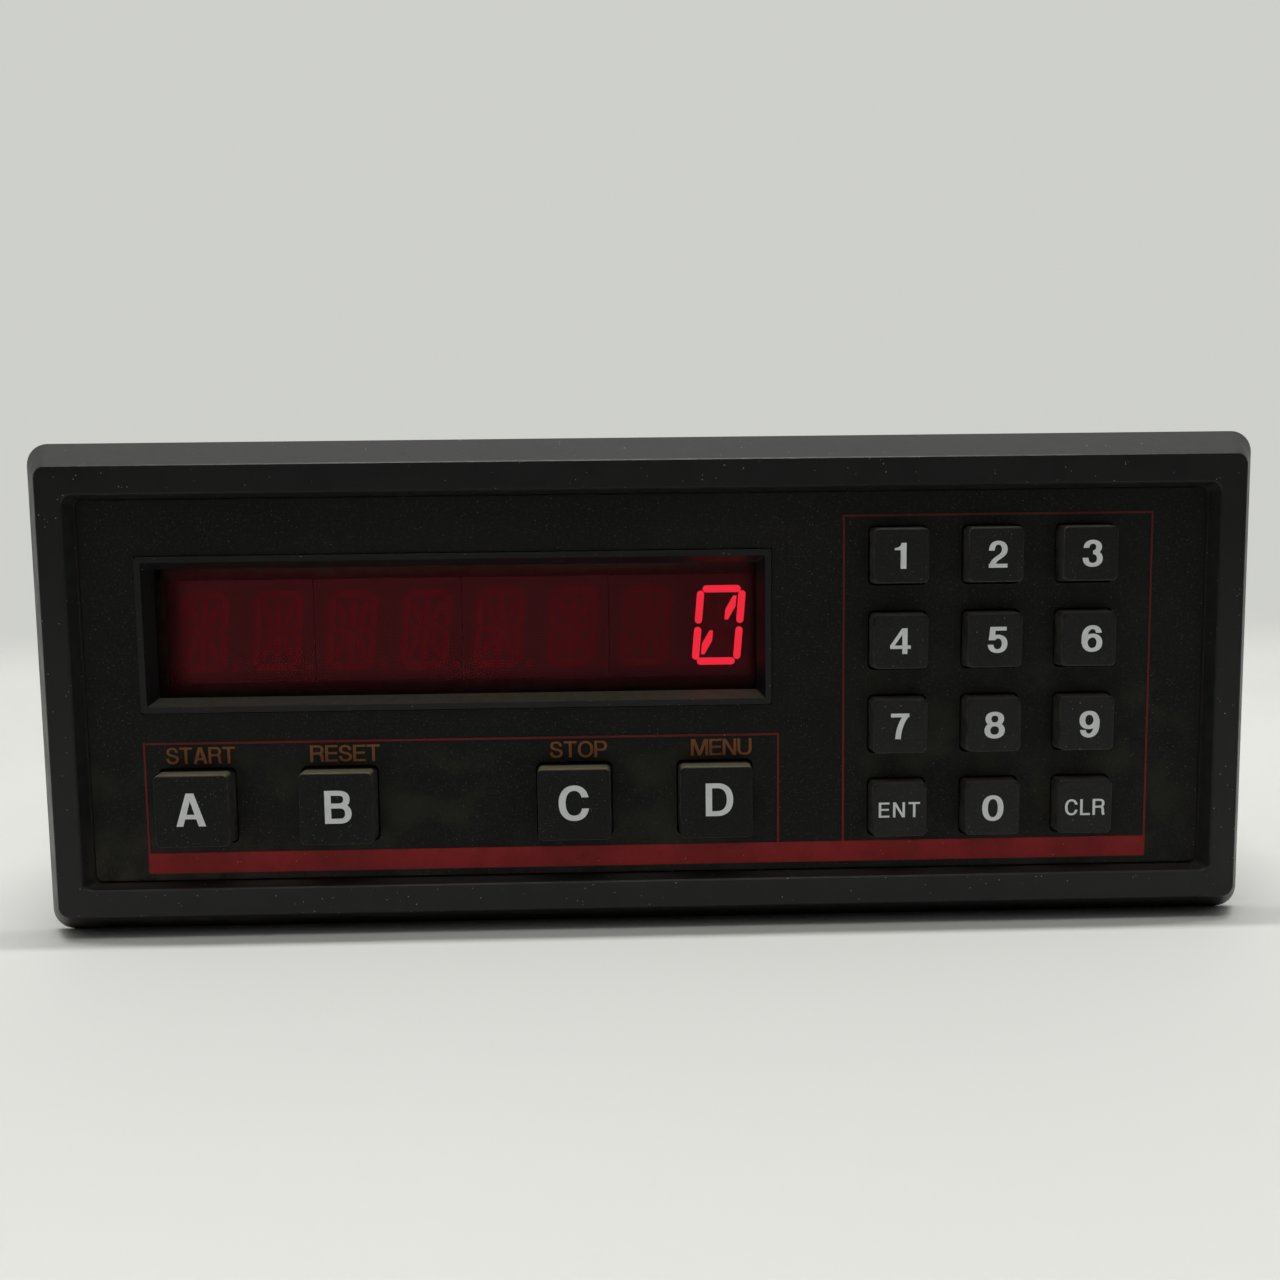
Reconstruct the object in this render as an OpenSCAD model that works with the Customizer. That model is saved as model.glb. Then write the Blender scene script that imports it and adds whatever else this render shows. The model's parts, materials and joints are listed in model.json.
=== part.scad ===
// Panel-mounted batch totalizer: a moulded bezel with an eight-digit display and sixteen
// sprung keys, carried by an extruded case with its boards, clamps and rear terminals.
// X runs to the right, Y runs from the front to the back, Z runs up. Millimetres.

/* [Bezel] */
// Width of the bezel's front face
front_w = 198.6; // [192:0.2:215]
// Height of the bezel's front face
front_h = 75.1; // [72:0.1:90]
// How far each outer side slopes outward on its way back
flare = 3.9; // [2:0.1:7]
// Depth of the bezel in front of the panel
bezel_d = 7; // [6.4:0.2:10]
// Corner radius of the front face
front_corner = 2; // [1:0.5:4]
// Corner radius of the back edge
back_corner = 3.6; // [2:0.2:6]
// Radius left on the front face's outer edge
edge_r = 0.2; // [0.1:0.1:0.9]
// Width of the rim on each side of the recess
rim_side = 4.35; // [3.6:0.05:5]
// Width of the rim above and below the recess
rim_over = 4.75; // [3.8:0.05:5]
// Rounding on the rim's inner edge
lip_r = 0.25; // [0.1:0.05:0.6]
// How far the recess's left and right walls lean in
side_draft = 1.3; // [0.4:0.1:1.8]
// How far the recess's upper and lower walls lean in
wall_draft = 0.75; // [0.3:0.05:1.2]
// Depth of the recess down to the faceplate
recess_d = 2.2; // [1.4:0.1:2.8]
// Thickness of the wall behind the faceplate
web_t = 1.6; // [1.2:0.1:2.2]

/* [Faceplate] */
// Thickness of the faceplate
plate_t = 0.8; // [0.5:0.1:1.2]
// Gap between the faceplate and the recess wall
plate_gap = 0.2; // [0.15:0.05:0.6]
// Thickness of the printed lines
ink_t = 0.08; // [0.04:0.02:0.2]
// Width of the printed outlines
line_w = 0.35; // [0.3:0.05:0.8]
// Distance of the printed figure from the recess's left and right walls
print_in = 9.05; // [7:0.05:10.5]
// Distance of the printed bar from the recess's lower wall
bar_up = 1.35; // [0.8:0.05:2.2]
// Height of the printed bar
bar_h = 3.5; // [2.5:0.1:4]
// Distance from the left column of number keys to the outline round them
pad_box_side = 9.25; // [8:0.05:10]
// Distance from the top row of number keys up to the outline round them
pad_box_over = 6.85; // [6:0.05:8]
// Distance from the last function key to the outline round them
row_box_side = 10.95; // [9:0.05:12]
// Distance from the function keys up to the outline round them
row_box_over = 10.8; // [9:0.05:12]

/* [Display] */
// Width of the window frame
frame_w = 105; // [105:0.5:107]
// Height of the window frame
frame_h = 26; // [25:0.5:27]
// Distance of the window frame from the recess's left wall
frame_in = 9.15; // [7:0.05:11]
// Distance of the window frame from the recess's upper wall
frame_down = 9.45; // [8:0.05:11]
// Width of the window frame's flat lip
frame_lip = 1; // [0.6:0.1:1.4]
// Width of the bevel inside the lip
frame_bevel = 1.2; // [0.8:0.1:1.6]
// How far the window frame stands above the faceplate
frame_rise = 0.4; // [0.2:0.1:0.8]
// Thickness of the red filter
filter_t = 1.5; // [1:0.1:2]
// Depth of the display face behind the bezel's front
display_d = 10.5; // [9:0.1:12]
// Thickness of a display module
module_t = 6; // [5:0.2:7]
// Height of a display module
module_h = 17.8; // [16.5:0.1:20]
// Spacing of the digits
digit_pitch = 12.7; // [12.4:0.05:12.8]
// Distance of the digits' centre below the window's centre
digit_drop = 0.3; // [0:0.1:0.8]
// Width of a digit between the centres of its side bars
digit_w = 7.2; // [6:0.1:8]
// Height of a digit between the centres of its end bars
digit_h = 12.6; // [11:0.1:13]
// Width of one lit bar
bar_w = 1.25; // [0.8:0.05:1.4]
// Lean of the digits
digit_lean = 5; // [0:0.5:10]

/* [Keys] */
// Spacing of the number keys across the panel
pad_pitch_x = 15.7; // [15.4:0.1:16.2]
// Spacing of the number keys up the panel
pad_pitch_z = 14.2; // [14:0.1:14.4]
// Distance of the right column of number keys from the recess's right wall
pad_in = 20.5; // [18:0.05:22]
// Distance of the top row of number keys from the recess's upper wall
pad_down = 10.8; // [10:0.05:12]
// Width of a number key where it leaves the faceplate
pad_key_w = 9.4; // [8.6:0.1:9.8]
// Height of a number key above the faceplate
pad_key_h = 2.9; // [2:0.1:3.4]
// Rounding on a number key's front edges
pad_key_r = 0.3; // [0.2:0.1:1]
// Distances of the function keys from the recess's left wall
row_in = [17.85, 41.55, 80.85, 104.5];
// Distance of the function keys from the recess's lower wall
row_up = 12.85; // [12:0.05:15]
// Width of a function key where it leaves the faceplate
row_key_w = 12.3; // [11:0.1:12.6]
// Height of a function key above the faceplate
row_key_h = 4.1; // [3.2:0.1:5]
// Rounding on a function key's front edges
row_key_r = 0.25; // [0.2:0.05:0.6]
// Gap between a key and the edge of its hole
key_gap = 0.3; // [0.3:0.05:0.7]
// Travel of a key
key_travel = 1.2; // [0.8:0.1:1.4]
// Width of the collar that keeps a key behind the wall, on each side
collar_w = 1.15; // [1:0.05:1.25]
// Thickness of a key's collar
collar_t = 1.2; // [0.8:0.1:1.5]
// Diameter of a key's stem
stem_d = 3.4; // [3:0.1:4]
// Clearance round a key's stem in its switch
stem_gap = 0.4; // [0.3:0.05:0.5]
// Width of a switch housing
switch_w = 11; // [9:0.5:12]
// Gap that stays between moving and fixed pieces
run_gap = 0.3; // [0.3:0.02:0.4]

/* [Case] */
// Distance of the case's sides in from the bezel's back edge
case_side_in = 9.7; // [8.8:0.1:10]
// Distance of the case's top and bottom in from the bezel's back edge
case_top_in = 8.25; // [7:0.05:8.6]
// Length of the case behind the bezel
case_l = 143; // [138:1:170]
// Wall of the case
case_wall = 1.2; // [1:0.1:1.5]
// Corner radius of the case
case_corner = 2; // [1.5:0.1:3]
// Radius of the screw channels in the case's corners
channel_r = 3.2; // [3.1:0.1:3.6]
// Distance from the case's inner wall to a channel's centre
channel_in = 3; // [2.8:0.1:3.1]
// Diameter of the screw channels' bore
channel_bore = 3; // [2.6:0.1:3.2]
// Number of vent slots along the case's top and bottom
vent_count = 9; // [4:1:12]
// Length of a vent slot
vent_l = 26; // [12:1:34]
// Width of a vent slot
vent_w = 2.6; // [1.5:0.1:4]
// Spacing of the vent slots
vent_pitch = 12; // [8:0.5:14]
// Thickness of the rear panel
rear_t = 1.6; // [1:0.1:2]
// Thickness of the panel gasket
gasket_t = 2; // [1:0.2:3]
// Width of the panel gasket
gasket_w = 5; // [3:0.5:6]

/* [Clamps] */
// Height of a side clamp
clamp_h = 20; // [16:1:26]
// Thickness of a side clamp, out from the case
clamp_t = 8; // [7:0.5:8.5]
// Length of a side clamp
clamp_l = 16; // [12:1:20]
// Distance of the clamps behind the bezel
clamp_y = 40; // [34:1:44]
// Diameter of a clamp's jack screw
jack_d = 4; // [3:0.5:5]
// Length of a clamp's jack screw
jack_l = 60; // [56:1:80]
// Diameter of the jack screw's pressure pad
jack_pad_d = 7; // [6:0.5:8]

/* [Boards] */
// Thickness of the circuit boards
board_t = 1.6; // [1:0.1:2]
// Distance from the case's inner wall to a board's edge
board_gap = 1.2; // [0.8:0.1:2]
// Top of the main board, from the panel's centre
main_z = -23; // [-25:0.5:-21]
// Distance from the front board to the main board
main_gap = 6; // [4:0.5:12]
// Diameter of a mounting post
post_d = 4.8; // [4:0.2:5]
// Diameter of the small machine screws
screw_d = 2.5; // [2:0.1:3]

/* [Terminals] */
// Spacing of the rear terminals
way_pitch = 5.08; // [5:0.02:5.1]
// Height of a terminal block
block_h = 12; // [10:0.5:14]
// How far a terminal block stands out behind the rear panel
block_out = 9; // [8:0.5:12]
// Number of ways in the supply, relay and signal blocks
block_ways = [4, 8, 14];
// Gap between neighbouring terminal blocks
block_gap = 8; // [5:0.5:11]

/* [Hidden] */

$fn = 32;
// Thickness of the slices that a tapered form is drawn between
skin = 0.01;
// How far a cutter runs past the face that it opens
over = 1;
// Clearance between pieces that fit together
fit = 0.15;

back_w = front_w + 2 * flare;
back_h = front_h + 2 * flare;
centre_z = back_h / 2;
plate_y = recess_d;
web_y = plate_y + plate_t;
web_back = web_y + web_t;
recess_w = front_w - 2 * rim_side;
recess_h = front_h - 2 * rim_over;
floor_w = recess_w - 2 * side_draft;
floor_h = recess_h - 2 * wall_draft;
floor_r = 1.2;
case_w = back_w - 2 * case_side_in;
case_h = back_h - 2 * case_top_in;
inner_w = case_w - 2 * case_wall;
inner_h = case_h - 2 * case_wall;
inner_r = case_corner - case_wall;
channel_x = inner_w / 2 - channel_in;
channel_z = inner_h / 2 - channel_in;

sunk_head_d = 5.4;
sunk_head_h = 1.3;
drive_slot_w = 0.8;
drive_slot_d = 0.6;
bezel_screw_bite = 9;

frame_x = -floor_w / 2 + frame_in + frame_w / 2;
frame_z = floor_h / 2 - frame_down - frame_h / 2;
digit_z = frame_z - digit_drop;
window_w = frame_w - 2 * (frame_lip + frame_bevel);
window_h = frame_h - 2 * (frame_lip + frame_bevel);
spigot_w = 0.8;
frame_y = plate_y - frame_rise;
frame_r = 0.6;
window_r = 0.3;
filter_rim = 0.5;
filter_r = 0.8;
digit_count = 8;
module_count = digit_count / 2;
module_gap = 0.2;
module_w = 2 * digit_pitch - module_gap;
module_r = 0.4;
module_foot = 1;
segment_t = 0.1;
bar_gap = 0.3;
bar_stop = bar_w / 2 + bar_gap;
sliver_w = 0.6;
sliver_h = 1.8;
board_y = display_d + module_t;
board_back = board_y + board_t;

pad_count = 12;
pad_columns = 3;
pad_x = floor_w / 2 - pad_in - (pad_columns - 1) * pad_pitch_x;
pad_z = floor_h / 2 - pad_down;
row_x = [for (d = row_in) d - floor_w / 2];
row_z = row_up - floor_h / 2;
print_half_w = floor_w / 2 - print_in;
bar_z = bar_up - floor_h / 2;
pad_box_x = pad_x - pad_box_side;
pad_box_top = pad_z + pad_box_over;
row_box_x = row_x[3] + row_box_side;
row_box_top = row_z + row_box_over;
key_hole_r = 1;
key_corner = 0.9;
pad_draft = 0.15;
row_draft = 0.12;
stem_reach = 3;
collar_y = web_back + run_gap;
switch_y = collar_y + collar_t + key_travel + run_gap;
stem_end = switch_y + stem_reach;
well_end = stem_end + key_travel + 2 * run_gap;

case_back = bezel_d + case_l;
rear_back = case_back + rear_t;
front_y = plate_y - row_key_h;
mid_y = (front_y + rear_back + block_out) / 2;

post_in = 4.3;
post_down = 12.8;
mid_post_in = 7;
post_off = 0.5;
post_x = inner_w / 2 - post_in;
post_z = inner_h / 2 - post_down;
mid_post_x = (row_box_x + pad_box_x) / 2 - post_off;
mid_post_z = inner_h / 2 - mid_post_in;
post_spots = [[-post_x, post_z], [-post_x, -post_z], [post_x, post_z], [post_x, -post_z],
    [mid_post_x, mid_post_z], [mid_post_x, -mid_post_z]];

front_screw_l = 6;
board_screw_l = 5;
rear_screw_l = 10;
switch_chamfer = 1.2;

// Panel thickness that the jack screws are drawn set for
panel_t = 3;
hook_in = 4;
hook_l = 8;
hook_h = 2;
clamp_hooks = [-6, 6];
clamp_nose = 4;
clamp_pocket_in = 1.6;
clamp_pocket_h = 3.6;
jack_pad_t = 2.4;
jack_head_t = 3;
jack_slot_w = 1;
jack_slot_d = 1.2;
jack_bevel = 0.8;
vent_apart = 12;

main_front = board_back + main_gap;
main_end_gap = 0.6;
main_back = case_back - main_end_gap;
main_w = inner_w - 2 * board_gap;
foot_z = -inner_h / 2;
stand_in = 9;
stand_front = 6;
stand_back = 22;
stand_x = main_w / 2 - stand_in;
stand_y = [main_front + stand_front, main_back - stand_back];
stand_spots = [for (x = [-stand_x, stand_x], y = stand_y) [x, y]];
standoff_d = 6;
standoff_bore_l = 6;

// Chips, with their pins and the width of their bodies
lead_pitch = 2.54;
narrow_body = 6.6;
wide_body = 13.8;
driver_x = 24;
driver_up = 6;
driver_pins = 14;
chip_x = 52;
chip_in = 22;
chip_step = 24;
chip_y = [main_front + chip_in, main_front + chip_in + chip_step];
chip_pins = [40, 28];

// Transformer
core_w = 50;
core_h = 42;
core_t = 20;
core_in = 34.3;
core_back = 58;
core_x = core_in - inner_w / 2;
core_y = case_back - core_back;
core_limb = core_w / 6;
core_hole_d = 3.4;
coil_gap = 0.25;
coil_flange_t = 1.2;

// Standing capacitors as x, distance from the case's back, diameter and height
capacitors = [[-14, 42, 18, 34], [8, 42, 16, 28], [-14, 66, 12.5, 22]];
crimp_z = 1.6;
crimp_d = 0.6;
can_shoulder = 0.8;

sink_x = 14;
sink_back = 68;
sink_y = case_back - sink_back;
sink_w = 32;
sink_h = 28;
sink_base_t = 2.4;
fin_count = 7;
fin_t = 1.4;
fin_l = 12;

regulator_w = 10;
regulator_z = 8;
regulator_body_h = 9;
regulator_body_t = 4.4;
regulator_tab_h = 15.5;
regulator_tab_t = 1.3;
regulator_hole_d = 3.6;
lead_w = 1;
lead_t = 0.6;

relay_count = 3;
relay_x = 32;
relay_in = 34;
relay_y = case_back - relay_in;
relay_l = 19;
relay_w = 15.5;
relay_h = 15;
relay_edge = 0.8;
relay_gap = 3;

fuse_x = -58;
fuse_in = 22;
fuse_y = main_front + fuse_in;
fuse_up = 5.5;
fuse_z = main_z + fuse_up;
fuse_l = 20;
fuse_cap_r = 2.6;
fuse_cap_l = 5;
fuse_glass_r = 2.3;
clip_w = 4;
clip_t = 0.55;

ribbon_x = -6;
ribbon_w = 33;
ribbon_t = 0.9;
ribbon_z = 0;
ribbon_bend = 5;
ribbon_steps = 8;
plug_w = 38;
plug_h = 6;
plug_t = 9;
ribbon_reach = 12;
ribbon_drop_y = board_back + plug_t + ribbon_reach;

block_in = 8;
block_edge = 0.5;
block_slope = 2;
block_slope_h = 3.5;
entry_w = 3;
entry_h = 3.4;
entry_z = 2;
entry_l = 6;
screw_well_d = 3.8;
screw_well_h = 4;
screw_in = 5;
clamp_screw_t = 2;

earth_in = 14;
earth_x = earth_in - inner_w / 2;
earth_z = 12;
stud_d = 4;
stud_out = 8;
shank_d = 4.6;
stud_flange_d = 10;
stud_flange_t = 1.5;
rear_vent_z = 12;
rear_vent_step = 8;
rear_vent_gap = 3;

function pad_spot(i) = [pad_x + (i % pad_columns) * pad_pitch_x,
    pad_z - floor(i / pad_columns) * pad_pitch_z];
pad_spots = [for (i = [0 : pad_count - 1]) pad_spot(i)];
row_spots = [for (x = row_x) [x, row_z]];
key_spots = concat(pad_spots, row_spots);

function block_w(i) = block_ways[i] * way_pitch + 2 * block_edge;
function block_start(i) = i == 0 ? 0 : block_start(i - 1) + block_w(i - 1) + block_gap;
block_span = block_start(2) + block_w(2);
function block_x(i) = block_start(i) - block_span / 2;
function way_x(k) = block_edge + (k + 0.5) * way_pitch;

// Drawing helpers

// Puts a piece drawn from the panel's centre and front face where the whole part stands
module placed() {
    translate([0, -mid_y, centre_z]) children();
}

// Thickens a flat outline of X and Z into depth, from y
module slab(y, t) {
    translate([0, y + t, 0]) rotate([90, 0, 0]) linear_extrude(t) children();
}

// Flat rectangle with true round corners
module rounded(w, h, r) {
    square([w, h - 2 * r], center = true);
    square([w - 2 * r, h], center = true);
    for (x = [-1, 1], z = [-1, 1])
        translate([x * (w / 2 - r), z * (h / 2 - r)]) circle(r = r);
}

// Thin slice of a tapered form at depth y
module slice(w, h, r, y) {
    slab(y, skin) rounded(w, h, r);
}

// Round bar along the depth
module rod(d, y, l) {
    translate([0, y + l, 0]) rotate([90, 0, 0]) cylinder(d = d, h = l);
}

// Slot with round ends, drawn flat, as long along X as l
module slot(l, w) {
    square([l - w, w], center = true);
    for (x = [-1, 1]) translate([x * (l - w) / 2, 0]) circle(d = w);
}

// Copies a piece to each spot of a list of X and Z
module at_spots(spots) {
    for (s = spots) translate([s[0], 0, s[1]]) children();
}

module at_channels() {
    for (x = [-1, 1], z = [-1, 1]) translate([x * channel_x, 0, z * channel_z]) children();
}

// Pan-headed screw that points back along Y, its head's seat at y
module pan_screw(d, l, y) {
    head_d = 2 * d;
    head_h = 0.65 * d;
    slot_w = 0.3 * d;
    difference() {
        union() {
            translate([0, y, 0]) rotate([90, 0, 0])
                rotate_extrude() polygon([[0, 0], [head_d / 2, 0], [head_d / 2, head_h / 2],
                    [head_d / 2 - head_h / 2, head_h], [0, head_h]]);
            rod(d, y, l);
        }
        translate([-head_d, y - head_h - over, -slot_w / 2])
            cube([2 * head_d, over + head_h / 2, slot_w]);
    }
}

// Bezel and faceplate

module bezel_frame() placed() color([0.12, 0.12, 0.13]) {
    difference() {
        hull() {
            slice(front_w - 2 * edge_r, front_h - 2 * edge_r, front_corner - edge_r, 0);
            slice(front_w, front_h, front_corner, edge_r);
            slice(back_w, back_h, back_corner, bezel_d - skin);
        }
        recess_cutter();
        slab(web_back, bezel_d - web_back + over) difference() {
            rounded(inner_w, inner_h, inner_r);
            for (x = [-1, 1], z = [-1, 1])
                translate([x * channel_x, z * channel_z]) circle(r = channel_r);
        }
        slab(web_y - over, web_t + 2 * over) translate([frame_x, frame_z])
            square([window_w + 2 * (spigot_w + fit), window_h + 2 * (spigot_w + fit)],
                center = true);
        at_spots(pad_spots) slab(web_y - over, web_t + 2 * over) key_hole(pad_key_w);
        at_spots(row_spots) slab(web_y - over, web_t + 2 * over) key_hole(row_key_w);
        at_channels() rod(channel_bore + 2 * fit, web_y - over, bezel_d);
        at_channels() translate([0, web_y - skin, 0]) rotate([-90, 0, 0])
            cylinder(d1 = sunk_head_d + 2 * fit, d2 = channel_bore + 2 * fit, h = sunk_head_h + fit);
    }
    at_spots(post_spots) difference() {
        rod(post_d, web_back, board_y - web_back);
        rod(screw_d + 2 * fit, web_back + over, board_y - web_back);
    }
}

module recess_cutter() {
    hull() {
        slice(recess_w + 2 * lip_r, recess_h + 2 * lip_r, floor_r + wall_draft, -skin);
        slice(recess_w, recess_h, floor_r + wall_draft - lip_r, lip_r);
    }
    hull() {
        slice(recess_w, recess_h, floor_r + wall_draft - lip_r, lip_r);
        slice(floor_w, floor_h, floor_r, web_y - skin);
    }
}

module key_hole(w) {
    hole = w + 2 * key_gap;
    rounded(hole, hole, key_hole_r);
}

module faceplate() placed() color([0.07, 0.07, 0.065]) {
    slab(plate_y, plate_t) difference() {
        rounded(floor_w - 2 * plate_gap, floor_h - 2 * plate_gap, floor_r - plate_gap);
        translate([frame_x, frame_z])
            square([frame_w + 2 * fit, frame_h + 2 * fit], center = true);
        for (s = pad_spots) translate(s) key_hole(pad_key_w);
        for (s = row_spots) translate(s) key_hole(row_key_w);
    }
}

// Outline drawn as a line of the printed width, from its lower left corner
module outline(x, z, w, h) {
    translate([x, z]) difference() {
        square([w, h]);
        translate([line_w, line_w]) square([w - 2 * line_w, h - 2 * line_w]);
    }
}

module printed_lines() placed() color([0.45, 0.1, 0.1]) {
    slab(plate_y - ink_t, ink_t) {
        translate([-print_half_w, bar_z]) square([2 * print_half_w, bar_h]);
        outline(pad_box_x, bar_z, print_half_w - pad_box_x, pad_box_top - bar_z);
        outline(-print_half_w, bar_z, row_box_x + print_half_w, row_box_top - bar_z);
    }
}

module window_frame() placed() color([0.1, 0.1, 0.1]) {
    lip_w = window_w + 2 * frame_bevel;
    lip_h = window_h + 2 * frame_bevel;
    translate([frame_x, 0, frame_z]) difference() {
        union() {
            slab(frame_y, web_y - frame_y) rounded(frame_w, frame_h, frame_r);
            slab(web_y, web_t) square([window_w + 2 * spigot_w, window_h + 2 * spigot_w],
                center = true);
        }
        hull() {
            slice(lip_w, lip_h, window_r, frame_y - skin);
            slice(window_w, window_h, window_r, web_back);
        }
    }
}

module red_filter() placed() color([0.35, 0.02, 0.04]) {
    translate([frame_x, 0, frame_z]) slab(web_back, filter_t)
        rounded(frame_w - 2 * filter_rim, frame_h + 2 * filter_rim, filter_r);
}

// Display

module display_module(i) placed() color([0.2, 0.2, 0.2]) {
    foot_in = 2 * module_foot;
    translate([frame_x + (i - (module_count - 1) / 2) * 2 * digit_pitch, 0, digit_z]) {
        slab(display_d, module_t - module_foot) rounded(module_w, module_h, module_r);
        slab(board_y - module_foot, module_foot)
            square([module_w - foot_in, module_h - foot_in], center = true);
    }
}

// One bar of a digit, with round ends, between two points of the digit's own plane
module digit_bar(a, b) {
    run = b - a;
    translate((a + b) / 2) rotate(atan2(run[1], run[0])) slot(norm(run) + bar_w, bar_w);
}

function leaned(p) = [p[0] + p[1] * tan(digit_lean), p[1]];

module slanted_bar(a, b) {
    digit_bar(leaned(a), leaned(b));
}

// Sliver between two bars, in the quarter of the digit that side and level name
module diagonal(side, level, rising) {
    near = bar_stop;
    far = digit_w / 2 - bar_stop;
    low = bar_stop;
    high = digit_h / 2 - bar_stop - bar_gap;
    sliver = rising ? [[near, low], [near + sliver_w, low], [far, high - sliver_h], [far, high],
        [far - sliver_w, high], [near, low + sliver_h]]
        : [[far, low], [far, low + sliver_h], [near + sliver_w, high], [near, high],
        [near, high - sliver_h], [far - sliver_w, low]];
    polygon([for (p = sliver) leaned([side * p[0], level * p[1]])]);
}

module outer_bars() {
    w = digit_w / 2;
    h = digit_h / 2;
    for (level = [-1, 1]) {
        slanted_bar([-w + bar_stop, level * h], [w - bar_stop, level * h]);
        for (side = [-1, 1])
            slanted_bar([side * w, level * (h - bar_stop)], [side * w, level * bar_stop]);
    }
}

module slash_bars() {
    diagonal(1, 1, true);
    diagonal(-1, -1, true);
}

module inner_bars() {
    w = digit_w / 2;
    h = digit_h / 2;
    for (side = [-1, 1]) {
        slanted_bar([side * bar_stop, 0], [side * (w - bar_stop), 0]);
        slanted_bar([0, side * bar_stop], [0, side * (h - bar_stop - bar_w / 2)]);
    }
    diagonal(-1, 1, true);
    diagonal(1, -1, true);
    translate([w + bar_w + bar_gap, -h]) circle(d = bar_w);
}

module digit_at(i) {
    translate([frame_x + (i - (digit_count - 1) / 2) * digit_pitch, digit_z]) children();
}

module unlit_segments() placed() color([0.45, 0.25, 0.25]) {
    slab(display_d - segment_t, segment_t) {
        for (i = [0 : digit_count - 1]) digit_at(i) inner_bars();
        for (i = [0 : digit_count - 2]) digit_at(i) {
            outer_bars();
            slash_bars();
        }
    }
}

module lit_segments() placed() color([1, 0.15, 0.2]) {
    slab(display_d - segment_t, segment_t) digit_at(digit_count - 1) {
        outer_bars();
        slash_bars();
    }
}

// Front board

module front_board() placed() color([0.1, 0.3, 0.15]) {
    notch = channel_in + channel_r + board_gap;
    slab(board_y, board_t) difference() {
        square([inner_w - 2 * board_gap, inner_h - 2 * board_gap], center = true);
        for (x = [-1, 1], z = [-1, 1])
            translate([x * inner_w / 2, z * inner_h / 2]) square(2 * notch, center = true);
        for (s = post_spots) translate(s) circle(d = screw_d + 2 * fit);
    }
}

module key_switches() placed() color([0.15, 0.15, 0.16]) {
    w = switch_w / 2;
    c = w - switch_chamfer;
    at_spots(key_spots) difference() {
        slab(switch_y, board_y - switch_y)
            polygon([[-c, -w], [c, -w], [w, -c], [w, c], [c, w], [-c, w], [-w, c], [-w, -c]]);
        rod(stem_d + 2 * stem_gap, switch_y - over, well_end - switch_y + over);
    }
}

// Chip in a dual in-line package, lying flat on top of a board, drawn along X
module dip(pins, body_w) {
    side_pins = pins / 2;
    body_l = side_pins * lead_pitch;
    body_h = 3.4;
    lift = 0.6;
    leg_t = 0.3;
    mark_d = 2.4;
    mark_depth = 0.8;
    difference() {
        translate([-body_l / 2, -body_w / 2, lift]) cube([body_l, body_w, body_h]);
        translate([-body_l / 2, 0, lift + body_h - mark_depth])
            cylinder(d = mark_d, h = mark_depth + over);
    }
    for (side = [-1, 1], i = [0 : side_pins - 1])
        translate([(i - (side_pins - 1) / 2) * lead_pitch - lead_w / 2,
            side * (body_w + leg_t) / 2 - leg_t / 2, 0])
            cube([lead_w, leg_t, lift + body_h / 2]);
}

module driver_chips() placed() color([0.08, 0.08, 0.08]) {
    for (x = [-driver_x, driver_x]) translate([frame_x + x, board_back, digit_z + driver_up])
        rotate([-90, 0, 0]) dip(driver_pins, narrow_body);
}

module front_board_screws() placed() color([0.7, 0.7, 0.72]) {
    for (s = post_spots) translate([s[0], board_back, s[1]]) rotate([180, 0, 0])
        pan_screw(screw_d, front_screw_l, 0);
}

// Keys

// Key with a softly rounded head, a collar behind the wall and a stem to its switch
module key(w, h, r, draft) {
    top = w - 2 * draft;
    face = plate_y - h;
    hull() {
        slice(top - 1.8 * r, top - 1.8 * r, key_corner, face);
        slice(top - 0.7 * r, top - 0.7 * r, key_corner, face + 0.3 * r);
        slice(top, top, key_corner, face + r);
        slice(w, w, key_corner, plate_y);
        slice(w, w, key_corner, collar_y);
    }
    slab(collar_y, collar_t) rounded(w + 2 * collar_w, w + 2 * collar_w, key_corner);
    rod(stem_d, collar_y + collar_t - skin, stem_end - collar_y - collar_t + skin);
}

module pad_key(i) placed() color([0.15, 0.15, 0.155]) {
    translate([pad_spots[i][0], 0, pad_spots[i][1]])
        key(pad_key_w, pad_key_h, pad_key_r, pad_draft);
}

module row_key(i) placed() color([0.15, 0.15, 0.155]) {
    translate([row_spots[i][0], 0, row_spots[i][1]])
        key(row_key_w, row_key_h, row_key_r, row_draft);
}

// Case

module bezel_screws() placed() color([0.7, 0.7, 0.72]) {
    l = bezel_d - web_y + bezel_screw_bite;
    shank_r = (channel_bore - fit) / 2;
    at_channels() difference() {
        translate([0, web_y, 0]) rotate([-90, 0, 0]) rotate_extrude()
            polygon([[0, 0], [sunk_head_d / 2, 0], [shank_r, sunk_head_h], [shank_r, l], [0, l]]);
        translate([-sunk_head_d, web_y - over, -drive_slot_w / 2])
            cube([2 * sunk_head_d, over + drive_slot_d, drive_slot_w]);
    }
}

module panel_gasket() placed() color([0.1, 0.1, 0.1]) {
    slab(bezel_d, gasket_t) difference() {
        rounded(case_w + 2 * (fit + gasket_w), case_h + 2 * (fit + gasket_w),
            case_corner + gasket_w / 2);
        rounded(case_w + 2 * fit, case_h + 2 * fit, case_corner);
    }
}

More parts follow.
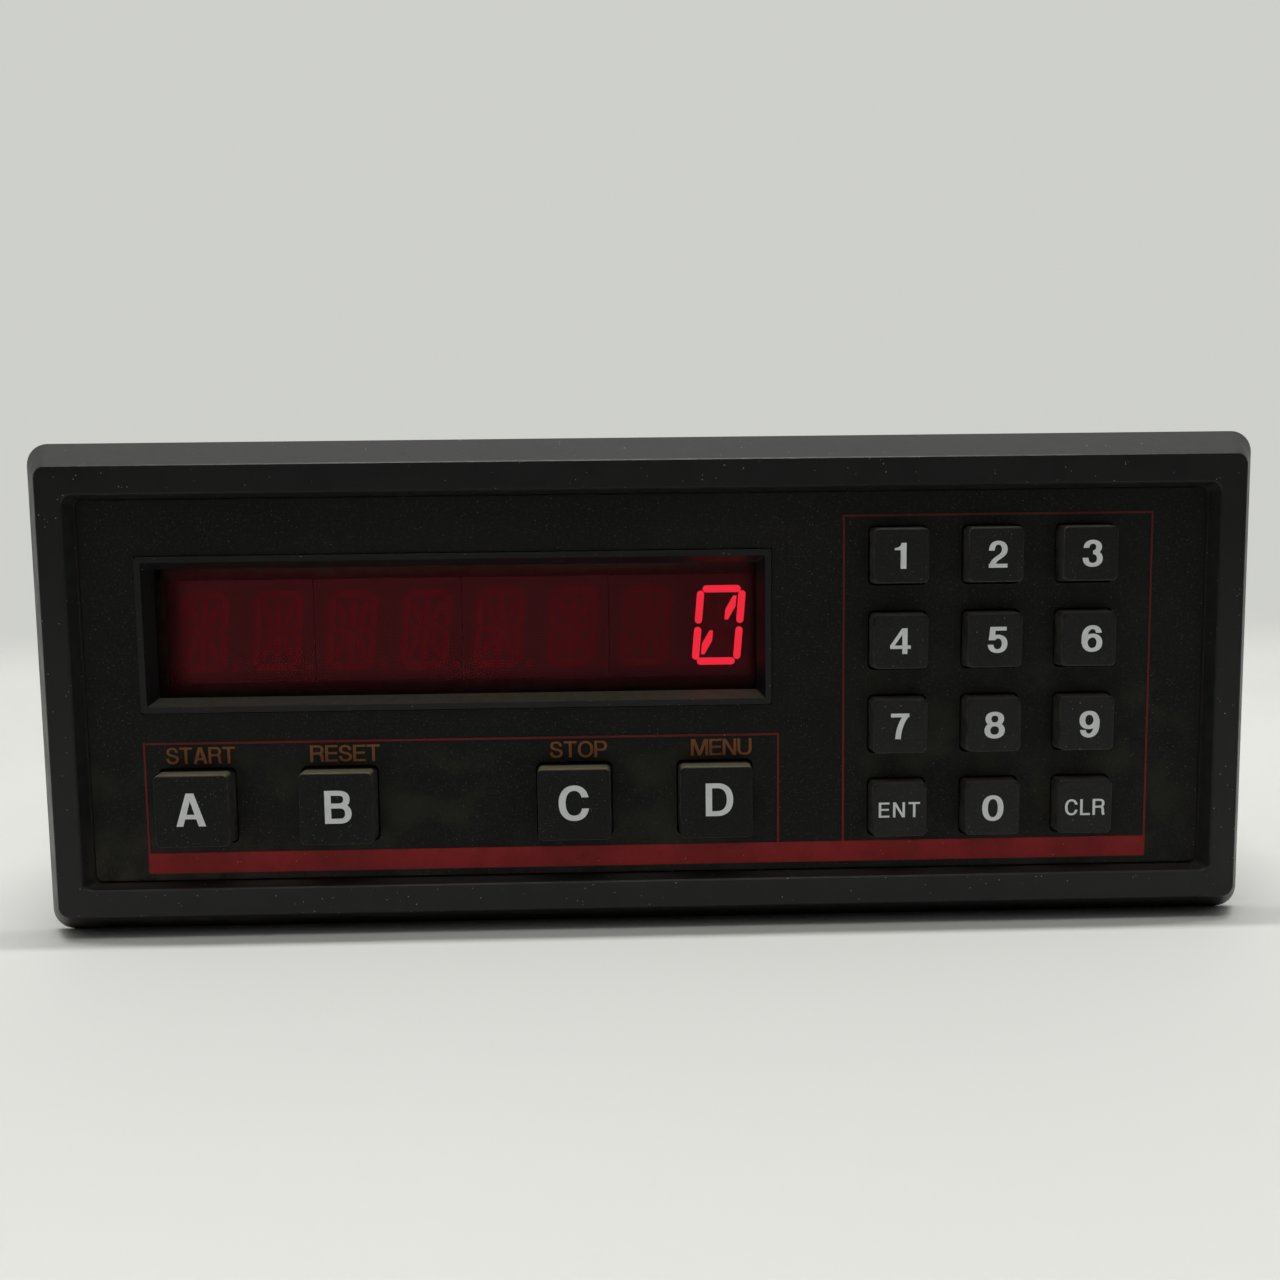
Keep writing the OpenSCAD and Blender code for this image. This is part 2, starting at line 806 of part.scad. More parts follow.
module case_sleeve() placed() color([0.2, 0.2, 0.21]) {
    vent_y = bezel_d + case_l / 2;
    difference() {
        slab(bezel_d, case_l) difference() {
            union() {
                difference() {
                    rounded(case_w, case_h, case_corner);
                    rounded(inner_w, inner_h, inner_r);
                }
                for (x = [-1, 1], z = [-1, 1])
                    translate([x * channel_x, z * channel_z]) circle(r = channel_r);
            }
            for (x = [-1, 1], z = [-1, 1])
                translate([x * channel_x, z * channel_z]) circle(d = channel_bore);
        }
        for (i = [0 : vent_count - 1], side = [-1, 1])
            translate([(i - (vent_count - 1) / 2) * vent_pitch,
                vent_y + side * (vent_l + vent_apart) / 2, -case_h / 2 - over])
                linear_extrude(case_h + 2 * over) rotate(90) slot(vent_l, vent_w);
        for (z = clamp_hooks)
            translate([-case_w / 2 - over, bezel_d + clamp_y + hook_in, z - hook_h / 2 - fit])
                cube([case_w + 2 * over, hook_l + 2 * fit, hook_h + 2 * fit]);
    }
}

// Clamp block on the case's right side, hooked into the side slots
module clamp_block() {
    w = case_w / 2;
    n = clamp_nose;
    translate([0, bezel_d + clamp_y, 0]) difference() {
        union() {
            translate([w, 0, clamp_h / 2]) rotate([0, 90, 0]) linear_extrude(clamp_t)
                polygon([[0, n], [n, 0], [clamp_h - n, 0], [clamp_h, n], [clamp_h, clamp_l],
                    [0, clamp_l]]);
            for (z = clamp_hooks)
                translate([w - case_wall, hook_in + fit, z - hook_h / 2])
                    cube([case_wall + fit, hook_l, hook_h]);
        }
        translate([w + clamp_t / 2, 0, 0]) rod(jack_d + 2 * fit, -over, clamp_l + 2 * over);
        for (side = [-1, 1])
            translate([w + clamp_pocket_in, n,
                side * (clamp_h / 2 - clamp_pocket_h) - clamp_pocket_h / 2])
                cube([clamp_t, clamp_l, clamp_pocket_h]);
    }
}

module side_clamp_right() placed() color([0.6, 0.6, 0.62]) clamp_block();
module side_clamp_left() placed() color([0.6, 0.6, 0.62]) mirror([1, 0, 0]) clamp_block();

// Long screw that bears on the back of the panel, its driving head at the rear
module jack_screw() {
    end = jack_l + jack_head_t;
    pad_r = jack_pad_d / 2;
    b = jack_bevel;
    translate([(case_w + clamp_t) / 2, bezel_d + gasket_t + panel_t, 0]) difference() {
        rotate([-90, 0, 0]) rotate_extrude()
            polygon([[0, 0], [pad_r - b, 0], [pad_r, b], [pad_r, jack_pad_t],
                [jack_d / 2, jack_pad_t], [jack_d / 2, jack_l], [pad_r, jack_l],
                [pad_r, end - b], [pad_r - b, end], [0, end]]);
        translate([-jack_pad_d, end - jack_slot_d, -jack_slot_w / 2])
            cube([2 * jack_pad_d, jack_slot_d + over, jack_slot_w]);
    }
}

module jack_screws() placed() color([0.75, 0.75, 0.77]) {
    jack_screw();
    mirror([1, 0, 0]) jack_screw();
}

// Rear panel

module rear_panel() placed() color([0.2, 0.2, 0.21]) {
    slab(case_back, rear_t) difference() {
        rounded(case_w, case_h, case_corner);
        for (i = [0 : len(block_ways) - 1])
            translate([block_x(i) - fit, main_z - fit])
                square([block_w(i) + 2 * fit, block_h + 2 * fit]);
        for (x = [-1, 1], z = [-1, 1])
            translate([x * channel_x, z * channel_z]) circle(d = channel_bore + 2 * fit);
        translate([earth_x, earth_z]) circle(d = shank_d + 2 * fit);
        for (i = [0 : vent_count - 1], row = [0, 1])
            translate([(i - (vent_count - 1) / 2) * vent_pitch,
                rear_vent_z + row * rear_vent_step]) slot(vent_pitch - rear_vent_gap, vent_w);
    }
}

module rear_panel_screws() placed() color([0.7, 0.7, 0.72]) {
    at_channels() translate([0, rear_back, 0]) rotate([180, 0, 0])
        pan_screw(channel_bore - fit, rear_screw_l, 0);
}

// Clinched stud: a flange inside the panel, a thicker shank through it and a free end
module earth_stud() placed() color([0.75, 0.65, 0.35]) {
    translate([earth_x, 0, earth_z]) {
        rod(shank_d, case_back - stud_flange_t, rear_t + stud_flange_t);
        rod(stud_d, rear_back - skin, stud_out + skin);
        slab(case_back - stud_flange_t, stud_flange_t) circle(d = stud_flange_d);
    }
}

// Main board

module main_board() placed() color([0.1, 0.3, 0.15]) {
    difference() {
        translate([-main_w / 2, main_front, main_z - board_t])
            cube([main_w, main_back - main_front, board_t]);
        for (s = stand_spots) translate([s[0], s[1], main_z - 2 * board_t])
            cylinder(d = screw_d + 2 * fit, h = 3 * board_t);
    }
}

module board_standoffs() placed() color([0.75, 0.65, 0.35]) {
    h = main_z - board_t - foot_z;
    for (s = stand_spots) translate([s[0], s[1], foot_z]) difference() {
        cylinder(d = standoff_d, h = h);
        translate([0, 0, h - standoff_bore_l])
            cylinder(d = screw_d + 2 * fit, h = standoff_bore_l + over);
    }
}

module board_screws() placed() color([0.7, 0.7, 0.72]) {
    for (s = stand_spots) translate([s[0], s[1], main_z]) rotate([-90, 0, 0])
        pan_screw(screw_d, board_screw_l, 0);
}

module transformer_core() placed() color([0.35, 0.33, 0.32]) {
    translate([core_x, core_y, main_z + core_h / 2]) slab(-core_t / 2, core_t) difference() {
        square([core_w, core_h], center = true);
        for (x = [-1, 1]) translate([x * core_limb * 1.5, 0])
            square([core_limb, core_h - 2 * core_limb], center = true);
        for (x = [-1, 1], z = [-1, 1])
            translate([x * (core_w - core_limb) / 2, z * (core_h - core_limb) / 2]) circle(d = core_hole_d);
    }
}

module transformer_coil() placed() color([0.75, 0.6, 0.25]) {
    coil_h = core_h - 2 * core_limb - 2 * coil_gap;
    outer_w = 4 * core_limb - 2 * coil_gap;
    outer_t = core_t + outer_w - 2 * core_limb;
    translate([core_x, core_y, main_z + (core_h - coil_h) / 2]) difference() {
        union() {
            linear_extrude(coil_h) rounded(outer_w - 1, outer_t - 1, 2);
            for (z = [0, coil_h - coil_flange_t]) translate([0, 0, z])
                linear_extrude(coil_flange_t) rounded(outer_w, outer_t + 1, 1);
        }
        translate([0, 0, -over]) linear_extrude(coil_h + 2 * over)
            square([2 * (core_limb + coil_gap), core_t + 2 * coil_gap], center = true);
    }
}

// Standing can with a crimped groove near its foot and a sloped shoulder
module capacitor(d, h) {
    r = d / 2;
    rotate_extrude() polygon([[0, 0], [r, 0], [r, crimp_z], [r - crimp_d, crimp_z + crimp_d],
        [r, crimp_z + 2 * crimp_d], [r, h - can_shoulder], [r - can_shoulder, h], [0, h]]);
}

module filter_capacitors() placed() color([0.1, 0.15, 0.3]) {
    for (c = capacitors) translate([c[0], case_back - c[1], main_z]) capacitor(c[2], c[3]);
}

module heat_sink() placed() color([0.5, 0.5, 0.52]) {
    translate([sink_x - sink_w / 2, sink_y, main_z]) linear_extrude(sink_h) {
        square([sink_w, sink_base_t]);
        for (i = [0 : fin_count - 1])
            translate([i * (sink_w - fin_t) / (fin_count - 1), sink_base_t - skin])
                square([fin_t, fin_l]);
    }
}

module voltage_regulator() placed() color([0.1, 0.1, 0.1]) {
    w = regulator_w;
    translate([sink_x, sink_y, main_z]) {
        translate([-w / 2, -regulator_body_t, regulator_z])
            cube([w, regulator_body_t, regulator_body_h]);
        translate([-w / 2, -regulator_tab_t, regulator_z]) difference() {
            cube([w, regulator_tab_t, regulator_tab_h]);
            translate([w / 2, regulator_tab_t + over, regulator_tab_h - regulator_hole_d])
                rotate([90, 0, 0]) cylinder(d = regulator_hole_d, h = regulator_tab_t + 2 * over);
        }
        for (i = [-1 : 1])
            translate([i * lead_pitch - lead_w / 2, -(regulator_body_t + lead_t) / 2, 0])
                cube([lead_w, lead_t, regulator_z]);
    }
}

module output_relays() placed() color([0.15, 0.3, 0.55]) {
    w = relay_w / 2;
    e = relay_edge;
    for (i = [0 : relay_count - 1])
        translate([relay_x + i * (relay_w + relay_gap), relay_y + relay_l / 2, main_z])
        rotate([90, 0, 0]) linear_extrude(relay_l)
        polygon([[-w, 0], [w, 0], [w, relay_h - e], [w - e, relay_h], [-w + e, relay_h],
            [-w, relay_h - e]]);
}

module logic_chips() placed() color([0.08, 0.08, 0.08]) {
    for (i = [0, 1]) translate([chip_x, chip_y[i], main_z]) dip(chip_pins[i], wide_body);
}

module fuse() placed() color([0.8, 0.8, 0.82]) {
    r = fuse_cap_r;
    cap = fuse_cap_l;
    translate([fuse_x - fuse_l / 2, fuse_y, fuse_z]) rotate([0, 90, 0])
        rotate_extrude() polygon([[0, 0], [r, 0], [r, cap], [fuse_glass_r, cap],
            [fuse_glass_r, fuse_l - cap], [r, fuse_l - cap], [r, fuse_l], [0, fuse_l]]);
}

module fuse_clips() placed() color([0.7, 0.7, 0.72]) {
    r = fuse_cap_r + clip_t;
    for (side = [-1, 1])
        translate([fuse_x + side * (fuse_l - fuse_cap_l) / 2 - clip_w / 2, fuse_y, fuse_z])
        rotate([90, 0, 90]) linear_extrude(clip_w) difference() {
            union() {
                circle(r = r);
                translate([-clip_w / 2, main_z - fuse_z]) square([clip_w, fuse_z - main_z]);
            }
            circle(r = fuse_cap_r);
            translate([-clip_w / 2, 0]) square([clip_w, r + over]);
        }
}

// Points of the bend at a distance r from its centre, turning down from level
function bend_points(r) = [for (i = [0 : ribbon_steps]) let (a = 90 - 90 * i / ribbon_steps)
    [ribbon_drop_y - ribbon_bend + r * cos(a), ribbon_z - ribbon_bend + r * sin(a)]];

// Flat cable from the front board back, round a bend and down to the main board
module ribbon_cable() placed() color([0.55, 0.55, 0.57]) {
    start = board_back + plug_t;
    end = main_z + plug_t;
    half = ribbon_t / 2;
    inside = bend_points(ribbon_bend - half);
    translate([ribbon_x - ribbon_w / 2, 0, 0]) rotate([90, 0, 90]) linear_extrude(ribbon_w)
        polygon(concat([[start, ribbon_z + half]], bend_points(ribbon_bend + half),
            [[ribbon_drop_y + half, end], [ribbon_drop_y - half, end]],
            [for (i = [ribbon_steps : -1 : 0]) inside[i]], [[start, ribbon_z - half]]));
}

module ribbon_connectors() placed() color([0.1, 0.1, 0.1]) {
    translate([ribbon_x - plug_w / 2, board_back, ribbon_z - plug_h / 2])
        cube([plug_w, plug_t, plug_h]);
    translate([ribbon_x - plug_w / 2, ribbon_drop_y - plug_h / 2, main_z])
        cube([plug_w, plug_h, plug_t]);
}

// Terminals

// Terminal block number i, with a wire entry at the back and a screw well on top of each way
module terminal_block(i) {
    l = block_in + rear_t + block_out;
    translate([block_x(i), case_back - block_in, main_z]) difference() {
        rotate([90, 0, 90]) linear_extrude(block_w(i))
            polygon([[0, 0], [l, 0], [l, block_h - block_slope_h], [l - block_slope, block_h],
                [0, block_h]]);
        for (k = [0 : block_ways[i] - 1]) translate([way_x(k), l, 0]) {
            translate([-entry_w / 2, -entry_l, entry_z]) cube([entry_w, entry_l + over, entry_h]);
            translate([0, -screw_in, block_h - screw_well_h])
                cylinder(d = screw_well_d, h = screw_well_h + over);
        }
    }
}

module supply_terminals() placed() color([0.1, 0.35, 0.2]) terminal_block(0);
module relay_terminals() placed() color([0.1, 0.35, 0.2]) terminal_block(1);
module signal_terminals() placed() color([0.1, 0.35, 0.2]) terminal_block(2);

module terminal_screws() placed() color([0.75, 0.75, 0.77]) {
    for (i = [0 : len(block_ways) - 1], k = [0 : block_ways[i] - 1])
        translate([block_x(i) + way_x(k), rear_back + block_out - screw_in,
            main_z + block_h - screw_well_h]) difference() {
            cylinder(d = screw_well_d - 2 * fit, h = clamp_screw_t);
            translate([-screw_well_d, -drive_slot_w / 2, clamp_screw_t - drive_slot_d])
                cube([2 * screw_well_d, drive_slot_w, drive_slot_d + over]);
        }
}

bezel_frame();
faceplate();
printed_lines();
window_frame();
red_filter();
display_module(0);  // display_module_1
display_module(1);  // display_module_2
display_module(2);  // display_module_3
display_module(3);  // display_module_4
unlit_segments();
lit_segments();
front_board();
key_switches();
driver_chips();
pad_key(0);  // key_1
pad_key(1);  // key_2
pad_key(2);  // key_3
pad_key(3);  // key_4
pad_key(4);  // key_5
pad_key(5);  // key_6
pad_key(6);  // key_7
pad_key(7);  // key_8
pad_key(8);  // key_9
pad_key(9);  // key_enter
pad_key(10);  // key_0
pad_key(11);  // key_clear
row_key(0);  // key_a
row_key(1);  // key_b
row_key(2);  // key_c
row_key(3);  // key_d
front_board_screws();
bezel_screws();
panel_gasket();
case_sleeve();
rear_panel();
rear_panel_screws();
side_clamp_left();
side_clamp_right();
jack_screws();
main_board();
board_standoffs();
board_screws();
transformer_core();
transformer_coil();
filter_capacitors();
heat_sink();
voltage_regulator();
output_relays();
logic_chips();
fuse();
fuse_clips();
ribbon_cable();
ribbon_connectors();
supply_terminals();
relay_terminals();
signal_terminals();
terminal_screws();
earth_stud();
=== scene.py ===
# %% [markdown]
# # Dressing a panel-mounted batch totalizer
#
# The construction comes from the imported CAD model: bezel, window, keys, case and all that is
# inside. This lesson gives those pieces their finishes, prints the legends, cuts the screw
# threads, and lights the whole as it stands on a workshop bench.

import json
import math

import bmesh
import bpy
from mathutils import Matrix, Vector
from mathutils.geometry import delaunay_2d_cdt


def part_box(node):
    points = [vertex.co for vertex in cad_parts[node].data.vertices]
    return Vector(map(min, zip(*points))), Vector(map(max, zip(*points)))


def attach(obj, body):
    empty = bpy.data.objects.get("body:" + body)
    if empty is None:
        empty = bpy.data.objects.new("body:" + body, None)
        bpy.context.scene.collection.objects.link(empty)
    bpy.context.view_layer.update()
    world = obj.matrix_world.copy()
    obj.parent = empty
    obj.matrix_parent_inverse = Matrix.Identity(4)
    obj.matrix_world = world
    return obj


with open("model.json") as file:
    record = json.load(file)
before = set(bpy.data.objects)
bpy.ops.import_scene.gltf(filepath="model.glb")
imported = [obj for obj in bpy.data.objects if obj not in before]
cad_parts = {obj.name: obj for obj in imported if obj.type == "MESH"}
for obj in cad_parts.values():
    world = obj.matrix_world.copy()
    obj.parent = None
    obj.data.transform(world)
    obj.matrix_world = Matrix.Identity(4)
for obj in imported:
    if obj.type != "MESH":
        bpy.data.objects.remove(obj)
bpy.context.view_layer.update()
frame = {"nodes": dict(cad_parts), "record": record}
nodes = frame["nodes"]

# %% [markdown]
# ## A working frame on the panel
#
# Every size below is in millimetres from the middle of the bezel's front face: X to the right,
# Y back into the case, Z up. One function turns such a place into the scene's metres, so that
# the numbers read like those on a drawing of the instrument.

# %% Millimetres from the middle of the front face
MM = 0.001
bezel_low, bezel_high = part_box("bezel_frame")
front_y = bezel_low.y
middle_z = (bezel_low.z + bezel_high.z) / 2


def at(x, y, z):
    """A place on the instrument, given in millimetres, as a place in the scene."""
    return Vector((x * MM, front_y + y * MM, middle_z + z * MM))


print("front face at y", round(front_y, 5), "middle at z", round(middle_z, 5))

# %% [markdown]
# ## The camera
#
# The photograph was taken from 28 mm above the middle and some 200 mm away, with the camera
# turned a little to the right, tipped down and slightly rolled. A camera's own axes are easier
# to build one after the other than to guess as three angles: first where it looks, then which
# way is right, then the roll.

# %% Camera at the photograph's place and angle
PHOTO_PIXELS = 1280
FOCAL_PIXELS = 1230
SENSOR = 36.0
CAMERA_PLACE = (-6.153, -202.246, 27.844)
yaw, pitch, roll = math.radians(1.314), math.radians(5.631), math.radians(0.710)

camera_data = bpy.data.cameras.new("camera")
camera_data.sensor_fit = "HORIZONTAL"
camera_data.sensor_width = SENSOR
camera_data.lens = FOCAL_PIXELS / PHOTO_PIXELS * SENSOR
camera_data.clip_start = 0.01
camera = bpy.data.objects.new("camera", camera_data)
bpy.context.scene.collection.objects.link(camera)
bpy.context.scene.camera = camera

look = Vector((math.sin(yaw) * math.cos(pitch), math.cos(yaw) * math.cos(pitch),
               -math.sin(pitch)))
level = Vector((math.cos(yaw), -math.sin(yaw), 0))
upright = level.cross(look)
right = level * math.cos(roll) - upright * math.sin(roll)
up = level * math.sin(roll) + upright * math.cos(roll)
turn = Matrix((right, up, -look)).transposed().to_4x4()
camera.matrix_world = Matrix.Translation(at(*CAMERA_PLACE)) @ turn
print("camera at", [round(v, 4) for v in camera.matrix_world.translation])

# %% [markdown]
# ## Small tools for materials
#
# Every finish here starts with the same few steps: make a material, place a node, join two
# sockets, do a step of arithmetic. A few short functions keep the finishes themselves readable.
# A strength is a number between 0 and 1 that a pattern gives at each point of a surface.


# %% Node helpers
def add(tree, kind, inputs=None, **settings):
    """Adds a node and sets its options and the values of its sockets."""
    made = tree.nodes.new(kind)
    for key, value in settings.items():
        setattr(made, key, value)
    for key, value in (inputs or {}).items():
        made.inputs[key].default_value = value
    return made


def join(tree, source, target):
    """Links an output socket to an input socket."""
    tree.links.new(source, target)


def mix_colour(tree, factor, first, second):
    """Mixes two colours by a socket or number; each may be a socket or a written colour."""
    made = add(tree, "ShaderNodeMix", data_type="RGBA")
    for socket, value in ((made.inputs[0], factor), (made.inputs[6], first),
                          (made.inputs[7], second)):
        if isinstance(value, bpy.types.NodeSocket):
            join(tree, value, socket)
        elif isinstance(value, (int, float)):
            socket.default_value = value
        else:
            socket.default_value = (*value, 1)
    return made.outputs[2]


def math_node(tree, operation, first, second):
    """One step of arithmetic on sockets or numbers."""
    made = add(tree, "ShaderNodeMath", operation=operation)
    for socket, value in zip(made.inputs, (first, second)):
        if isinstance(value, bpy.types.NodeSocket):
            join(tree, value, socket)
        else:
            socket.default_value = value
    return made.outputs[0]


def ramp(tree, value, low, high):
    """Runs smoothly from 0 to 1 while a value goes from low to high."""
    made = add(tree, "ShaderNodeMapRange", {"From Min": low, "From Max": high},
               interpolation_type="SMOOTHSTEP")
    join(tree, value, made.inputs["Value"])
    return made.outputs["Result"]


def both(tree, *strengths):
    """Strengths multiplied together."""
    product = strengths[0]
    for strength in strengths[1:]:
        product = math_node(tree, "MULTIPLY", product, strength)
    return product


def stretch(tree, strength, low, high):
    """A strength from 0 to 1 made to run from low to high."""
    return math_node(tree, "ADD", math_node(tree, "MULTIPLY", strength, high - low), low)


def opposite(tree, strength):
    """A strength from 0 to 1 turned round."""
    return math_node(tree, "SUBTRACT", 1.0, strength)


# %% [markdown]
# ## Patterns that several finishes share
#
# Dust is what tells a used instrument from a new one. It lies as a thin film on faces that look
# upward, where it is partly painted light as well, and as single pale specks everywhere; pale
# cloudy patches on upright faces are painted light. Noise makes the clouds and the grain of a
# moulding; a Voronoi texture with very small circles round a few of its points makes specks.
# All patterns read Object coordinates, so that they stay on the piece when it moves.


# %% Clouds, specks and grain
def place(tree):
    """Object coordinates, in metres."""
    return add(tree, "ShaderNodeTexCoord").outputs["Object"]


def clouds(tree, scale, detail=3.0, low=0.4, high=0.7):
    """Soft patches between 0 and 1, about 1/scale metres apart."""
    noise = add(tree, "ShaderNodeTexNoise", {"Scale": scale, "Detail": detail})
    join(tree, place(tree), noise.inputs["Vector"])
    return ramp(tree, noise.outputs["Fac"], low, high)


def specks(tree, share, spacing=0.45, radius=0.12):
    """Small round specks of uneven strength and size, in loose patches.

    The share is that of points, spacing millimetres apart, which have a speck. Its radius, in
    millimetres too, is between a third of the given one and all of it.
    """
    cells = add(tree, "ShaderNodeTexVoronoi", {"Scale": 1 / (spacing * MM)})
    join(tree, place(tree), cells.inputs["Vector"])
    pick = add(tree, "ShaderNodeSeparateColor")
    join(tree, cells.outputs["Color"], pick.inputs[0])
    chosen = math_node(tree, "GREATER_THAN", pick.outputs[0], 1 - share)
    size = math_node(tree, "MULTIPLY", math_node(tree, "ADD", pick.outputs[1], 0.5),
                     radius / 1.5 / spacing)
    near = math_node(tree, "LESS_THAN", cells.outputs["Distance"], size)
    strength = math_node(tree, "POWER", pick.outputs[2], 0.7)
    return both(tree, chosen, near, strength, clouds(tree, 80, 2, 0.3, 0.55))


def bumps(tree, grains):
    """Stacks bumps from fine noise: a list of (scale, height in millimetres)."""
    normal = None
    for scale, height in grains:
        noise = add(tree, "ShaderNodeTexNoise", {"Scale": scale, "Detail": 2.0})
        join(tree, place(tree), noise.inputs["Vector"])
        bump = add(tree, "ShaderNodeBump", {"Strength": 1.0, "Distance": height * MM})
        join(tree, noise.outputs["Fac"], bump.inputs["Height"])
        if normal:
            join(tree, normal, bump.inputs["Normal"])
        normal = bump.outputs["Normal"]
    return normal


# %% [markdown]
# ## Where a pattern lies
#
# Two things keep a pattern to a part of the surface: the way a face looks, and its place on the
# panel. Each becomes a strength, and strengths that are multiplied together hold only where all
# of them do.


# %% Directions and places
def part_along(tree, axis, vector):
    """The part of a vector that lies along one axis."""
    axes = add(tree, "ShaderNodeSeparateXYZ")
    join(tree, vector, axes.inputs[0])
    return axes.outputs[axis]


def facing(tree, axis):
    """How far a face looks along an axis: 1 right along it, -1 the other way."""
    return part_along(tree, axis, add(tree, "ShaderNodeNewGeometry").outputs["Normal"])


def facing_up(tree, low=0.3, high=0.9):
    """1 on faces that look upward, 0 on upright ones."""
    return ramp(tree, facing(tree, "Z"), low, high)


def off_front(tree):
    """1 on faces that look sideways, up or down, 0 on the ones that look forward."""
    return ramp(tree, facing(tree, "Y"), -0.9, -0.4)


def span(tree, axis, start, end):
    """0 at one place along an axis of the panel and 1 at another, given in millimetres."""
    index = "XYZ".index(axis)
    here = part_along(tree, axis, place(tree))
    low, high = (at(*[v if i == index else 0 for i in range(3)])[index] for v in (start, end))
    if low < high:
        return ramp(tree, here, low, high)
    return opposite(tree, ramp(tree, here, high, low))


# %% [markdown]
# ## One recipe for moulded, printed and painted surfaces
#
# Moulded plastic, screen print and anodised sheet differ in their numbers more than in their
# making, so one function builds them all. Its numbers are the ones that a finisher would name:
# colour, how rough, how glossy, how coarse the grain, and how dusty it has become; on faces that
# look upward the dust is partly painted light.

# %% The recipe
# The colour of dust, which on faces that look upward also stands for painted light.
UP_DUST_AND_LIGHT = (0.16, 0.145, 0.11)
LINT = (0.32, 0.31, 0.28)


def surface(name, colour, rough, gloss=0.5, metal=0.0, grain=(), patch=None, patch_scale=60,
            film=0.0, speck_share=0.0, speck_colour=LINT, stains=()):
    """A finish with an uneven colour, a grain, a film of dust, stains and pale specks.

    A stain is a pair: a function that gives its strength in the node tree, and its colour.
    Some stains are painted light rather than dirt, and the film is partly painted light.
    """
    material = bpy.data.materials.new(name)
    material.use_nodes = True
    material.diffuse_color = (*colour, 1)
    tree = material.node_tree
    shader = tree.nodes["Principled BSDF"]
    shader.inputs["Roughness"].default_value = rough
    shader.inputs["Specular IOR Level"].default_value = gloss
    shader.inputs["Metallic"].default_value = metal
    tone = mix_colour(tree, clouds(tree, patch_scale), colour,
                      patch or [c * 1.25 + 0.001 for c in colour])
    # The film is dust, and where it lies on faces that look upward it is partly painted light.
    if film:
        thick = stretch(tree, clouds(tree, 700, 4, 0.2, 0.8), 0.8 * film, 1.15 * film)
        tone = mix_colour(tree, both(tree, facing_up(tree), thick), tone, UP_DUST_AND_LIGHT)
    for strength, stain_colour in stains:
        tone = mix_colour(tree, strength(tree), tone, stain_colour)
    if speck_share:
        tone = mix_colour(tree, specks(tree, speck_share), tone, speck_colour)
    join(tree, tone, shader.inputs["Base Color"])
    uneven = add(tree, "ShaderNodeMapRange", {"To Min": rough - 0.04, "To Max": rough + 0.05})
    join(tree, clouds(tree, patch_scale * 4, 4, 0.3, 0.7), uneven.inputs["Value"])
    join(tree, uneven.outputs["Result"], shader.inputs["Roughness"])
    normal = bumps(tree, grain)
    if normal:
        join(tree, normal, shader.inputs["Normal"])
    return material


def dress(material, *names):
    """Gives CAD nodes a finish."""
    for name in names:
        slots = nodes[name].material_slots
        for each in slots:
            each.material = material
        if not slots:
            nodes[name].data.materials.append(material)
    print(material.name, "on", *names)


# %% [markdown]
# ## Dust and painted light on the front
#
# Fingers wipe the open faces of the real instrument and push dust into its corners. Some marks
# below are painted light instead: the upright sides of the keys and of the recess and the narrow
# gaps are made lighter, and the yellowish tops of the function keys are partly painted light.
# Each function below gives the strength of one such mark. Its numbers are places in millimetres,
# between which the mark fades in.


# %% Where the dust and painted light lie
def corner_dust(tree):
    """Brown dust that gathers in the recess, most in its lower left corner."""
    low = both(tree, span(tree, "Z", -20, -34), span(tree, "X", -30, -93))
    inside = both(tree, span(tree, "Y", 0.5, 2.2), clouds(tree, 260, 5, 0.35, 0.65))
    return both(tree, low, inside, 0.55)


def pad_dust(tree):
    """Olive dust that fingers have pushed between the number keys."""
    near = both(tree, span(tree, "X", 30, 40), span(tree, "X", 96, 84), span(tree, "Z", 22, -14))
    return both(tree, near, clouds(tree, 150, 5, 0.4, 0.65), 0.6)


def row_dust(tree):
    """The same dust round the function keys."""
    near = both(tree, span(tree, "Z", -8, -14), span(tree, "X", 22, 14))
    return both(tree, near, clouds(tree, 120, 5, 0.42, 0.65), 0.6)


def painted_side_light(tree):
    """Pale grey in patches on upright sides: painted light that those sides catch from the room.
    """
    upright = opposite(tree, facing_up(tree, 0.3, 0.7))
    patchy = stretch(tree, clouds(tree, 500, 4, 0.3, 0.7), 0.4, 1.4)
    return both(tree, off_front(tree), upright, patchy)


def recess(tree):
    """1 inside the bezel's recess, 0 on its rim and flared sides."""
    wide = both(tree, span(tree, "X", -98, -96.5), span(tree, "X", 98, 96.5))
    return both(tree, wide, span(tree, "Z", -35.5, -34), span(tree, "Z", 35.5, 34),
                span(tree, "Y", 0.1, 0.4))


def painted_wall_light(tree):
    """A thin pale grey on the recess's upright walls: painted light that those walls catch from
    the room.
    """
    return both(tree, recess(tree), painted_side_light(tree), 0.13)


def ledge_dust(tree):
    """Dust along the back of the recess's lower wall."""
    return both(tree, recess(tree), facing_up(tree), span(tree, "Y", 0.2, 1.8), 0.3)


def painted_gap_light(tree):
    """A dark grey in the narrow gaps round the faceplate and the keys: painted light that
    lightens the shade in them.
    """
    return both(tree, recess(tree), span(tree, "Y", 2.22, 2.4))


def fine_dust(tree):
    """A fine mottle of dust all over the faceplate and the keys."""
    return both(tree, clouds(tree, 2400, 2, 0.5, 0.75), 0.36)


def top_dust_and_light(tree):
    """Yellowish dust on the front half of a function key's top, which is partly painted light on
    that top.
    """
    patchy = stretch(tree, clouds(tree, 700, 4, 0.2, 0.8), 0.7, 1.0)
    return both(tree, facing_up(tree), span(tree, "Y", 1.2, 0.4), patchy)
